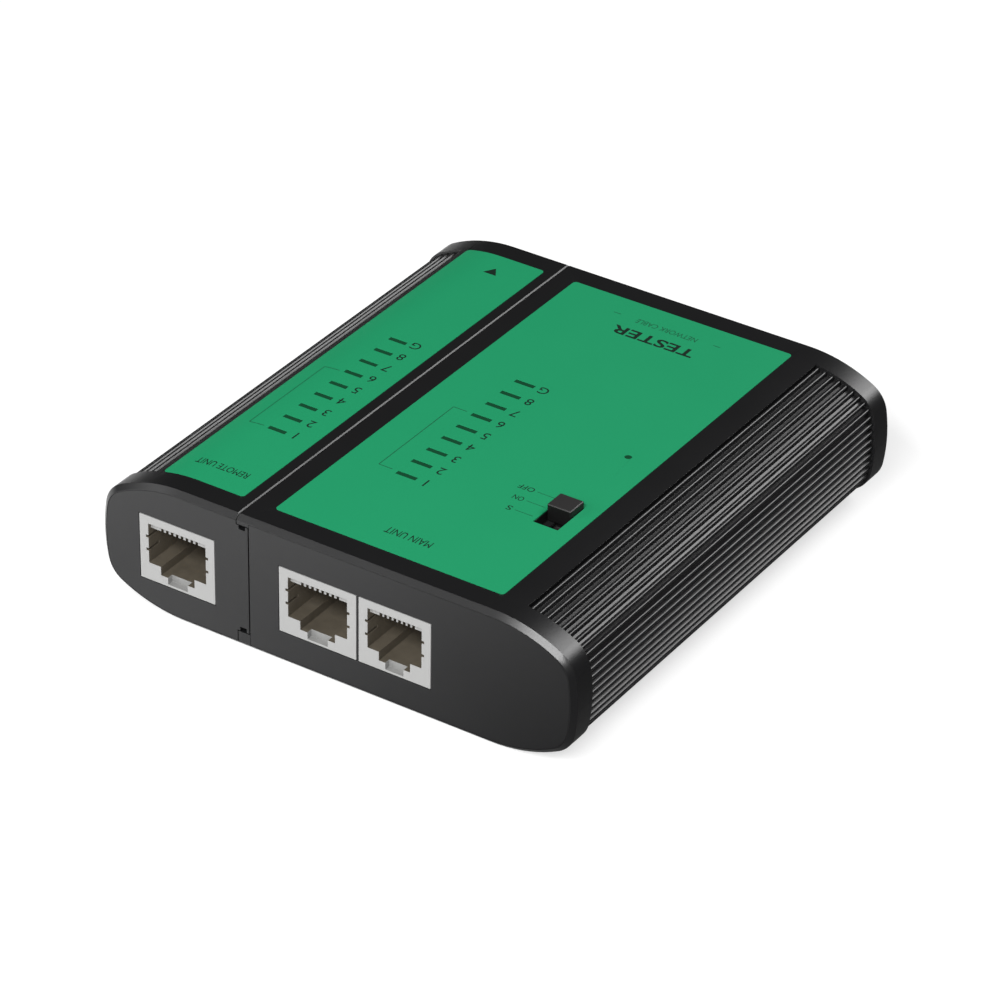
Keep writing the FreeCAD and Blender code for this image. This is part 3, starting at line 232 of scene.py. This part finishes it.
def finish_of(name, colour, rough, shift=0.1, spread=0.08, grains=3000.0, bump=0.15,
              depth=0.02 * MM, metal=0.0, specular=0.5):
    """A material with the shared grain. Returns it, its shader and its grain node."""
    material = bpy.data.materials.new(name)
    material.use_nodes = True
    nodes, links = material.node_tree.nodes, material.node_tree.links
    shader = nodes["Principled BSDF"]
    shader.inputs["Metallic"].default_value = metal
    shader.inputs["Specular IOR Level"].default_value = specular
    grain = nodes.new("ShaderNodeGroup")
    grain.node_tree = GRAIN
    grain.inputs["Color"].default_value = (*colour, 1.0)
    grain.inputs["Color Shift"].default_value = shift
    grain.inputs["Grains per Metre"].default_value = grains
    grain.inputs["Roughness"].default_value = rough
    grain.inputs["Roughness Spread"].default_value = spread
    relief = nodes.new("ShaderNodeBump")
    relief.inputs["Strength"].default_value = bump
    relief.inputs["Distance"].default_value = depth
    links.new(grain.outputs["Color"], shader.inputs["Base Color"])
    links.new(grain.outputs["Roughness"], shader.inputs["Roughness"])
    links.new(grain.outputs["Height"], relief.inputs["Height"])
    links.new(relief.outputs["Normal"], shader.inputs["Normal"])
    return material, shader, grain


def dress(material, *names):
    """Gives CAD nodes that keep their own shape a material."""
    for name in names:
        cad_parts[name].material_slots[0].material = material


def laminate():
    """Green lacquer over rows of copper tracks, which show through it a little paler."""
    track_length, track_pitch, track_width = 7.6 * MM, 1.27 * MM, 0.16 * MM
    material, shader, grain = finish_of("board_lacquer", (0.012, 0.11, 0.035), 0.32)
    nodes, links = material.node_tree.nodes, material.node_tree.links
    place = nodes.new("ShaderNodeTexCoord")
    tracks = nodes.new("ShaderNodeTexBrick")
    tracks.inputs["Scale"].default_value = 1.0
    tracks.inputs["Brick Width"].default_value = track_length
    tracks.inputs["Row Height"].default_value = track_pitch
    tracks.inputs["Mortar Size"].default_value = track_width
    tracks.inputs["Mortar Smooth"].default_value = 0.1
    tracks.inputs["Color1"].default_value = (0.0, 0.0, 0.0, 1.0)
    tracks.inputs["Color2"].default_value = (0.0, 0.0, 0.0, 1.0)
    tracks.inputs["Mortar"].default_value = (1.0, 1.0, 1.0, 1.0)
    blend = nodes.new("ShaderNodeMix")
    blend.data_type = "RGBA"
    blend.inputs["B"].default_value = (0.05, 0.24, 0.06, 1.0)
    links.new(place.outputs["Object"], tracks.inputs["Vector"])
    links.new(tracks.outputs["Color"], blend.inputs["Factor"])
    links.new(grain.outputs["Color"], blend.inputs["A"])
    links.new(blend.outputs["Result"], shader.inputs["Base Color"])
    return material


dress(laminate(), "main_circuit_board", "remote_circuit_board")


# ---------------------------------------------------------------- parts on the boards
# The chip that steps the lamps, its resistors and the diodes of the remote unit are black
# epoxy. The capacitor beside the battery leads has a dark blue sleeve, and the lamps are
# clear resin.
epoxy, _, _ = finish_of("black_epoxy", (0.02, 0.02, 0.022), 0.55, grains=6000.0, bump=0.3)
dress(epoxy, "sequencer_chip", "main_resistors", "remote_diodes")
sleeve, _, _ = finish_of("capacitor_sleeve", (0.015, 0.02, 0.12), 0.3, grains=1500.0)
dress(sleeve, "reservoir_capacitor")
lamp_resin, lamp_shader, _ = finish_of("clear_lamp_resin", (0.62, 0.68, 0.62), 0.2, bump=0.05)
lamp_shader.inputs["Coat Weight"].default_value = 0.5
dress(lamp_resin, "main_lamps", "remote_lamps", "power_lamp")


# ---------------------------------------------------------------- jacks
# Three modular jacks: a pale grey frame with a comb of slots for eight gilded springs and a
# channel for the plug's latch. Inside, the mouth is coloured smoky brown and its throat ledge a
# darker grey than the frame: painted shade.
merge_reach = 0.0005 * MM
flat_within = math.radians(0.3)
sharp_beyond = math.radians(30.0)
crease_beyond = math.radians(32.0)


def softened(node, name, ease, segments=2):
    """A copy of a CAD piece with its flat faces whole and its sharp edges eased."""
    shape = bmesh.new()
    shape.from_mesh(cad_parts[node].data)
    bmesh.ops.remove_doubles(shape, verts=shape.verts, dist=merge_reach)
    bmesh.ops.dissolve_limit(shape, angle_limit=flat_within, verts=shape.verts,
                             edges=shape.edges, use_dissolve_boundaries=False)
    sharp = [edge for edge in shape.edges
             if len(edge.link_faces) == 2 and edge.calc_face_angle() > sharp_beyond]
    bmesh.ops.bevel(shape, geom=sharp, offset=ease, segments=segments, profile=0.5,
                    affect="EDGES", clamp_overlap=True)
    bmesh.ops.triangulate(shape, faces=[face for face in shape.faces if len(face.verts) > 4])
    points = [vertex.co.copy() for vertex in shape.verts]
    shape.verts.index_update()
    faces = [[vertex.index for vertex in face.verts] for face in shape.faces]
    shape.free()
    return mesh_piece(name, points, faces)


def mesh_piece(name, points, faces):
    """An object with those faces, shaded smooth up to its creases."""
    mesh = bpy.data.meshes.new(name)
    mesh.from_pydata(points, [], faces)
    mesh.polygons.foreach_set("use_smooth", [True] * len(faces))
    mesh.set_sharp_from_angle(angle=crease_beyond)
    piece = bpy.data.objects.new(name, mesh)
    bpy.context.scene.collection.objects.link(piece)
    shading = piece.modifiers.new("even_shading", "WEIGHTED_NORMAL")
    shading.keep_sharp = True
    return piece


def fit(piece, node, body, slot, *materials):
    """Puts a finished piece in the place of its CAD node."""
    for material in materials:
        piece.data.materials.append(material)
    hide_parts(node)
    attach(piece, body)


jack_frame, _, _ = finish_of("jack_frame", (0.32, 0.32, 0.316), 0.4, shift=0.05, grains=5000.0)
# The throat's ledge gets a darker copy of the frame's grey and the mouth's inner faces a dark
# smoky brown: painted shade.
jack_throat_painted_shade, _, _ = finish_of("jack_throat_painted_shade", (0.24, 0.24, 0.235), 0.4, shift=0.2,
                              grains=900.0)
jack_mouth_painted_shade, _, _ = finish_of("jack_mouth_painted_shade", (0.085, 0.073, 0.055), 0.35, shift=0.5,
                              grains=700.0)
spring_gilt, _, _ = finish_of("spring_gilt", (0.83, 0.58, 0.2), 0.22, metal=1.0)
frame_skin = 0.1 * MM
frame_lip = 1.3 * MM
comb_setback = 0.8 * MM
throat_depth = 1.2 * MM
throat_top = 1.7 * MM
jack_height = 12.7 * MM
mouth_top = 1.5 * MM
spring_slot = 0.5 * MM
spring_nose = 0.5 * MM
spring_run = 8.6 * MM
spring_dip = 5.8 * MM
spring_radius = 0.18 * MM
wide_pitch = 1.02 * MM
narrow_pitch = 0.92 * MM


def line_jack(piece, node):
    """The frame keeps its grey on the outside and on its comb. Inside the mouth its faces get a
    dark smoky brown, and the throat's ledge a darker grey: both painted shade.
    """
    low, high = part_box(node)
    throat, mouth_shade = 1, 2
    for face in piece.data.polygons:
        at = face.center
        outside = (at.y < low.y + frame_skin or at.y > high.y - frame_skin
                   or at.x < low.x + frame_skin or at.x > high.x - frame_skin
                   or at.z < low.z + frame_skin or at.z > high.z - frame_lip)
        faces_front = face.normal.y < -0.7
        comb = faces_front and at.y < low.y + comb_setback + frame_skin
        if outside or comb:
            continue
        # The mouth's inner faces take the painted shade: darker grey on the throat's ledge, smoky
        # brown elsewhere.
        in_throat = at.z < low.z + throat_top and at.y < low.y + throat_depth + frame_skin
        face.material_index = throat if in_throat else mouth_shade


def spring_row_tree():
    """A row of like wires: the path is swept with a round section, then repeated in X."""
    tree = bpy.data.node_groups.new("spring_row", "GeometryNodeTree")
    tree.interface.new_socket(name="Geometry", in_out="INPUT",
                              socket_type="NodeSocketGeometry")
    for name, kind, usual in (("Count", "NodeSocketInt", 8),
                              ("Pitch", "NodeSocketFloat", wide_pitch),
                              ("Middle", "NodeSocketFloat", 0.0),
                              ("Wire Radius", "NodeSocketFloat", spring_radius),
                              ("Bend Radius", "NodeSocketFloat", 2.5 * spring_radius)):
        tree.interface.new_socket(name=name, in_out="INPUT",
                                  socket_type=kind).default_value = usual
    tree.interface.new_socket(name="Finish", in_out="INPUT", socket_type="NodeSocketMaterial")
    tree.interface.new_socket(name="Geometry", in_out="OUTPUT",
                              socket_type="NodeSocketGeometry")
    nodes, links = tree.nodes, tree.links
    given = nodes.new("NodeGroupInput")
    result = nodes.new("NodeGroupOutput")
    bends = nodes.new("GeometryNodeFilletCurve")
    bends.mode = "POLY"
    bends.inputs["Count"].default_value = 6
    links.new(given.outputs["Geometry"], bends.inputs["Curve"])
    links.new(given.outputs["Bend Radius"], bends.inputs["Radius"])
    section = nodes.new("GeometryNodeCurvePrimitiveCircle")
    section.inputs["Resolution"].default_value = 12
    links.new(given.outputs["Wire Radius"], section.inputs["Radius"])
    sweep = nodes.new("GeometryNodeCurveToMesh")
    sweep.inputs["Fill Caps"].default_value = True
    links.new(bends.outputs["Curve"], sweep.inputs["Curve"])
    links.new(section.outputs["Curve"], sweep.inputs["Profile Curve"])
    gaps = nodes.new("ShaderNodeMath")
    gaps.operation = "SUBTRACT"
    gaps.inputs[1].default_value = 1.0
    links.new(given.outputs["Count"], gaps.inputs[0])
    half_row = nodes.new("ShaderNodeMath")
    half_row.operation = "MULTIPLY"
    links.new(gaps.outputs[0], half_row.inputs[0])
    links.new(given.outputs["Pitch"], half_row.inputs[1])
    first = nodes.new("ShaderNodeMath")
    first.operation = "MULTIPLY_ADD"
    first.inputs[1].default_value = -0.5
    links.new(half_row.outputs[0], first.inputs[0])
    links.new(given.outputs["Middle"], first.inputs[2])
    start = nodes.new("ShaderNodeCombineXYZ")
    links.new(first.outputs[0], start.inputs["X"])
    step = nodes.new("ShaderNodeCombineXYZ")
    links.new(given.outputs["Pitch"], step.inputs["X"])
    row = nodes.new("GeometryNodeMeshLine")
    links.new(given.outputs["Count"], row.inputs["Count"])
    links.new(start.outputs["Vector"], row.inputs["Start Location"])
    links.new(step.outputs["Vector"], row.inputs["Offset"])
    repeat = nodes.new("GeometryNodeInstanceOnPoints")
    links.new(row.outputs["Mesh"], repeat.inputs["Points"])
    links.new(sweep.outputs["Mesh"], repeat.inputs["Instance"])
    real = nodes.new("GeometryNodeRealizeInstances")
    links.new(repeat.outputs["Instances"], real.inputs["Geometry"])
    finish = nodes.new("GeometryNodeSetMaterial")
    links.new(real.outputs["Geometry"], finish.inputs["Geometry"])
    links.new(given.outputs["Finish"], finish.inputs["Material"])
    links.new(finish.outputs["Geometry"], result.inputs["Geometry"])
    return tree


SPRING_ROW = spring_row_tree()


def spring_row(name, path, settings):
    """Runs the tree along a path and keeps the result as a plain mesh."""
    curve = bpy.data.curves.new(name + "_path", "CURVE")
    curve.dimensions = "3D"
    spline = curve.splines.new("POLY")
    spline.points.add(len(path) - 1)
    for point, place in zip(spline.points, path):
        point.co = (*place, 1.0)
    holder = bpy.data.objects.new(name + "_path", curve)
    bpy.context.scene.collection.objects.link(holder)
    modifier = holder.modifiers.new("row", "NODES")
    modifier.node_group = SPRING_ROW
    for item in SPRING_ROW.interface.items_tree:
        if item.in_out == "INPUT" and item.name in settings:
            modifier[item.identifier] = settings[item.name]
    bpy.context.view_layer.update()
    evaluated = holder.evaluated_get(bpy.context.evaluated_depsgraph_get())
    mesh = bpy.data.meshes.new_from_object(evaluated)
    holder.modifiers.remove(modifier)
    bpy.data.objects.remove(holder)
    mesh.name = name
    shape = bmesh.new()
    shape.from_mesh(mesh)
    bmesh.ops.recalc_face_normals(shape, faces=shape.faces)
    for face in shape.faces:
        face.smooth = True
    shape.to_mesh(mesh)
    shape.free()
    mesh.set_sharp_from_angle(angle=math.radians(50))
    piece = bpy.data.objects.new(name, mesh)
    bpy.context.scene.collection.objects.link(piece)
    return piece


def gilded_springs(node, body, pitch):
    """Eight wires up through the board, forward under the roof and folded back down."""
    low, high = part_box(node)
    frame_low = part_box(node.replace("_contacts", ""))[0]
    roof = frame_low.z + jack_height - mouth_top - spring_slot / 2
    back = high.y - spring_radius
    nose = frame_low.y + comb_setback + spring_nose
    tip = frame_low.z + jack_height - spring_dip
    path = [(0.0, back, high.z), (0.0, back, roof), (0.0, nose, roof),
            (0.0, nose + spring_run, tip)]
    wires = spring_row(node + "_wires", path,
                       {"Count": 8, "Pitch": pitch, "Middle": (low.x + high.x) / 2,
                        "Wire Radius": spring_radius, "Bend Radius": 2.5 * spring_radius,
                        "Finish": spring_gilt})
    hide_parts(node)
    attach(wires, body)


for node, body, pitch in (("main_wide_jack", "main_unit", wide_pitch),
                          ("main_narrow_jack", "main_unit", narrow_pitch),
                          ("remote_jack", "remote_unit", wide_pitch)):
    housing = softened(node, node + "_housing", 0.05 * MM)
    fit(housing, node, body, "jack_plastic", jack_frame, jack_throat_painted_shade, jack_mouth_painted_shade)
    line_jack(housing, node)
    gilded_springs(node + "_contacts", body, pitch)


# ---------------------------------------------------------------- light guides and lens
# Nine bars on a web carry each row of lamps up through the label, moulded in dark green
# acrylic. A small round lens does the same for the power lamp.
guide_acrylic, guide_shader, _ = finish_of("guide_acrylic", (0.004, 0.055, 0.022), 0.25,
                                           grains=2000.0, bump=0.05)
guide_shader.inputs["Coat Weight"].default_value = 0.3
dress(guide_acrylic, "main_light_guide", "remote_light_guide", "power_lens")


# ---------------------------------------------------------------- slide switch
# A three-position slide switch in a steel can, coloured almost black as painted shade in the
# slot. Its black knob stands proud of the label and slides towards the jacks. Its upward faces
# are a little smoother and a lighter black, the lighter colour a painted highlight.
# The can is coloured almost black: painted shade in the slot around the knob.
switch_can_shade, _, _ = finish_of("switch_can_painted_shade", (0.03, 0.03, 0.031), 0.5, metal=0.6,
                            grains=2500.0)
dress(switch_can_shade, "switch_case")
knob_plastic, _, _ = finish_of("knob_plastic", (0.004, 0.004, 0.004), 0.5, grains=6000.0,
                               specular=0.3)
# A lighter black for the knob's upward faces: a painted highlight, a little smoother too.
knob_lit_top, _, _ = finish_of("knob_lit_top", (0.022, 0.021, 0.021), 0.42, grains=6000.0)
knob = softened("switch_knob", "switch_thumb_piece", 0.3 * MM, segments=4)
fit(knob, "switch_knob", "power_switch", "knob_plastic", knob_plastic, knob_lit_top)
# Faces that face upwards take the lighter black, the painted highlight on the top.
lit_top_from = 0.4
for face in knob.data.polygons:
    if face.normal.z > lit_top_from:
        face.material_index = 1


# ---------------------------------------------------------------- battery
# A nine-volt block with nickel-plated studs, its snap connector in black vinyl, two insulated
# leads to the board and a foam pad that holds it against the rear panel.
def battery_wrap():
    """A dark wrap with a copper-coloured band round the end with the studs."""
    band_share = 0.3
    material, shader, grain = finish_of("battery_wrap", (0.02, 0.02, 0.024), 0.3, grains=1200.0)
    nodes, links = material.node_tree.nodes, material.node_tree.links
    low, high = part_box("battery")
    place = nodes.new("ShaderNodeTexCoord")
    split = nodes.new("ShaderNodeSeparateXYZ")
    band = nodes.new("ShaderNodeMath")
    band.operation = "LESS_THAN"
    band.inputs[1].default_value = low.y + (high.y - low.y) * band_share
    blend = nodes.new("ShaderNodeMix")
    blend.data_type = "RGBA"
    blend.inputs["B"].default_value = (0.45, 0.2, 0.08, 1.0)
    links.new(place.outputs["Object"], split.inputs["Vector"])
    links.new(split.outputs["Y"], band.inputs[0])
    links.new(band.outputs[0], blend.inputs["Factor"])
    links.new(grain.outputs["Color"], blend.inputs["A"])
    links.new(blend.outputs["Result"], shader.inputs["Base Color"])
    return material


dress(battery_wrap(), "battery")
nickel, _, _ = finish_of("nickel_plate", (0.66, 0.64, 0.6), 0.25, metal=1.0)
dress(nickel, "battery_terminals")
vinyl, _, _ = finish_of("black_vinyl", (0.018, 0.018, 0.019), 0.5, grains=1500.0)
dress(vinyl, "battery_connector", "battery_lead_negative")
red_vinyl, _, _ = finish_of("red_vinyl", (0.4, 0.012, 0.01), 0.42, grains=1500.0)
dress(red_vinyl, "battery_lead_positive")
foam, _, _ = finish_of("grey_foam", (0.05, 0.05, 0.052), 0.9, shift=0.9, grains=1400.0,
                       bump=1.0, depth=0.3 * MM)
dress(foam, "battery_foam_pad")


# ---------------------------------------------------------------- case
# Four shells and four end panels moulded in black plastic with a fine satin texture, smooth
# bands at both ends and rounded grip ribs along the two long sides.
case_plastic, _, _ = finish_of("case_plastic", (0.0068, 0.0068, 0.0072), 0.34, shift=0.25,
                               spread=0.06, grains=4500.0, bump=0.04)
moulded_edge = 0.06 * MM
for part, body in (("main", "main_unit"), ("remote", "remote_unit")):
    for side in ("top_shell", "bottom_shell"):
        shell = softened(f"{part}_{side}", f"{part}_{side}_moulding", moulded_edge)
        fit(shell, f"{part}_{side}", body, "case_plastic", case_plastic)
    for end in ("front_panel", "rear_panel"):
        panel = softened(f"{part}_{end}", f"{part}_{end}_moulding", moulded_edge)
        fit(panel, f"{part}_{end}", body, "case_plastic", case_plastic)


# ---------------------------------------------------------------- battery cover
# A flat lid under the main unit, moulded in the case's plastic. Its side tongues slide in
# grooves of the lower shell, and five pressed ridges give the thumb a hold.
cover = softened("battery_cover", "battery_cover_moulding", 0.1 * MM)
fit(cover, "battery_cover", "battery_lid", "case_plastic", case_plastic)


# ---------------------------------------------------------------- screws
# Zinc-plated self-tapping screws with crossed slots: six large ones hold the halves of the
# case together from below, and five small ones hold the boards up to their posts.
screw_steel, _, _ = finish_of("zinc_plate", (0.3, 0.3, 0.31), 0.34, metal=1.0, grains=2500.0)
dress(screw_steel, "main_case_screws", "remote_case_screws", "main_board_screws",
      "remote_board_screws")


# ---------------------------------------------------------------- labels
# Two green printed films lie in shallow recesses in the tops of the units. The print is a
# thin layer of dark ink: numbers beside the bars, brackets, names and the switch's places.
label_film, _, _ = finish_of("label_film", (0.0095, 0.255, 0.106), 0.5, shift=0.04,
                             spread=0.05, grains=2500.0, bump=0.05, specular=0.35)
for part, body in (("main", "main_unit"), ("remote", "remote_unit")):
    film = softened(f"{part}_label", f"{part}_label_film", 0.03 * MM)
    fit(film, f"{part}_label", body, "label_film", label_film)

ink, _, _ = finish_of("dark_ink", (0.002, 0.014, 0.007), 0.5, grains=2500.0, bump=0.05)
thin_ink, _, _ = finish_of("thin_ink", (0.005, 0.09, 0.038), 0.5, grains=2500.0, bump=0.05)
ink_depth = 0.012 * MM
type_depth = 0.01
type_merge = 1e-5
stroke_step = 1.0 * MM
label_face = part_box("main_label")[1].z
flat_reach = 31.0 * MM
shoulder_radius = 27.0 * MM


def label_height(x):
    """How high the label's face is at that distance from the middle."""
    over = max(abs(x) - flat_reach, 0.0)
    return label_face - shoulder_radius + math.sqrt(shoulder_radius ** 2 - over ** 2)


def lettering(words, centre, height, width=None, weight=0.0):
    """Words that read from the rear of the tester, as points and faces of a thin layer.
    The height is that of a capital. A width stretches or narrows them to fit. The weight
    thickens their strokes, as a share of the type size."""
    curve = bpy.data.curves.new("lettering", "FONT")
    curve.body = words
    curve.align_x = "CENTER"
    curve.align_y = "CENTER"
    curve.size = 1.0
    curve.offset = weight
    curve.extrude = type_depth
    curve.resolution_u = 4
    holder = bpy.data.objects.new("lettering", curve)
    bpy.context.scene.collection.objects.link(holder)
    bpy.context.view_layer.update()
    evaluated = holder.evaluated_get(bpy.context.evaluated_depsgraph_get())
    mesh = bpy.data.meshes.new_from_object(evaluated)
    bpy.data.objects.remove(holder)
    shape = bmesh.new()
    shape.from_mesh(mesh)
    bpy.data.meshes.remove(mesh)
    bmesh.ops.remove_doubles(shape, verts=shape.verts, dist=type_merge)
    low = Vector([min(v.co[i] for v in shape.verts) for i in range(3)])
    high = Vector([max(v.co[i] for v in shape.verts) for i in range(3)])
    middle = (low + high) / 2
    tall = height / (high.y - low.y)
    wide = width / (high.x - low.x) if width else tall
    points = []
    for vertex in shape.verts:
        x = centre[0] - (vertex.co.x - middle.x) * wide
        y = centre[1] - (vertex.co.y - middle.y) * tall
        lift = ink_depth if vertex.co.z > middle.z else -ink_depth
        points.append(Vector((x, y, label_height(x) + lift)))
    shape.verts.index_update()
    faces = [[vertex.index for vertex in face.verts] for face in shape.faces]
    shape.free()
    return points, faces


def stroke(start, stop, thickness):
    """A straight printed line, in short lengths so that it follows the label's bend."""
    run = Vector(stop) - Vector(start)
    side = Vector((-run.y, run.x)).normalized() * thickness / 2
    steps = max(int(run.length / stroke_step), 1)
    points, faces = [], []
    for step in range(steps + 1):
        at = Vector(start) + run * step / steps
        for edge, lift in ((side, -ink_depth), (side, ink_depth), (-side, ink_depth),
                           (-side, -ink_depth)):
            x, y = at + edge
            points.append(Vector((x, y, label_height(x) + lift)))
    for step in range(steps):
        base = 4 * step
        for corner in range(4):
            following = (corner + 1) % 4
            faces.append((base + corner, base + following, base + 4 + following,
                          base + 4 + corner))
    faces.append((3, 2, 1, 0))
    last = 4 * steps
    faces.append((last, last + 1, last + 2, last + 3))
    return points, faces


def printed(name, body, material, marks):
    """All the marks of one ink on one label, as one piece."""
    points, faces = [], []
    for more_points, more_faces in marks:
        base = len(points)
        points += more_points
        faces += [[index + base for index in face] for face in more_faces]
    shape = bmesh.new()
    made = [shape.verts.new(point) for point in points]
    for face in faces:
        shape.faces.new([made[index] for index in face])
    bmesh.ops.recalc_face_normals(shape, faces=shape.faces)
    mesh = bpy.data.meshes.new(name)
    shape.to_mesh(mesh)
    shape.free()
    mesh.materials.append(material)
    piece = bpy.data.objects.new(name, mesh)
    bpy.context.scene.collection.objects.link(piece)
    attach(piece, body)


bar_pitch = 4.52 * MM
digit_height = 2.1 * MM
bar_names = "12345678G"
bracket_line = 0.16 * MM
dash_line, dash_half = 0.14 * MM, 0.7 * MM
leader_line, leader_gap = 0.12 * MM, 0.6 * MM
legend_height, legend_letter = 1.3 * MM, 1.0 * MM
title_weight = 0.02


def bar_digits(x, first_y):
    """The names of the nine bars, one beside each."""
    return [lettering(digit, (x, first_y + index * bar_pitch), digit_height)
            for index, digit in enumerate(bar_names)]


def bracket(x, from_y, to_y, leg_x):
    """A long line beside the bars with a short leg at each end."""
    half = bracket_line / 2
    return [stroke((x, from_y), (x, to_y), bracket_line),
            stroke((x + half, from_y), (leg_x, from_y), bracket_line),
            stroke((x + half, to_y), (leg_x, to_y), bracket_line)]


# The main label: the title at the rear, the unit's name at the front, and the switch's
# three places beside its slot, each with a thin leader line.
main_dark = bar_digits(1.0 * MM, -25.3 * MM)
main_dark.append(lettering("TESTER", (7.55 * MM, 36.05 * MM), height=2.7 * MM,
                           width=16.8 * MM, weight=title_weight))
main_dark.append(lettering("MAIN UNIT", (8.0 * MM, -40.6 * MM), height=1.8 * MM,
                           width=9.0 * MM))
main_faint = bracket(-8.85 * MM, -24.8 * MM, -2.3 * MM, -6.1 * MM)
main_faint.append(lettering("NETWORK CABLE", (7.6 * MM, 40.5 * MM), height=1.4 * MM,
                            width=12.4 * MM))
dash_y = 40.8 * MM
for dash_x in (-2.8 * MM, 17.75 * MM):
    main_faint.append(stroke((dash_x - dash_half, dash_y), (dash_x + dash_half, dash_y),
                             dash_line))
for words, words_end, y, leader_end in (("OFF", 17.2 * MM, -17.0 * MM, 21.6 * MM),
                                        ("ON", 17.2 * MM, -20.3 * MM, 21.4 * MM),
                                        ("S", 17.1 * MM, -23.7 * MM, 21.2 * MM)):
    width = legend_letter * len(words)
    main_dark.append(lettering(words, (words_end - width / 2, y), legend_height, width))
    main_faint.append(stroke((words_end + leader_gap, y), (leader_end, y), leader_line))
printed("main_label_print", "main_unit", ink, main_dark)
printed("main_label_fine_print", "main_unit", thin_ink, main_faint)

# The remote's label: its name at the front and an arrow at the rear, the way it slides off.
remote_dark = bar_digits(-25.55 * MM, -25.4 * MM)
remote_dark.append(lettering("REMOTE UNIT", (-29.75 * MM, -40.5 * MM), height=1.7 * MM,
                             width=10.5 * MM))
arrow = [(-30.5 * MM, 39.5 * MM), (-27.8 * MM, 39.5 * MM), (-29.15 * MM, 41.7 * MM)]
arrow_points = [Vector((x, y, label_height(x) + lift)) for lift in (-ink_depth, ink_depth)
                for x, y in arrow]
remote_dark.append((arrow_points, [(0, 2, 1), (3, 4, 5), (0, 1, 4, 3), (1, 2, 5, 4),
                                   (2, 0, 3, 5)]))
printed("remote_label_print", "remote_unit", ink, remote_dark)
remote_faint = bracket(-35.0 * MM, -25.7 * MM, -3.5 * MM, -31.9 * MM)
printed("remote_label_fine_print", "remote_unit", thin_ink, remote_faint)
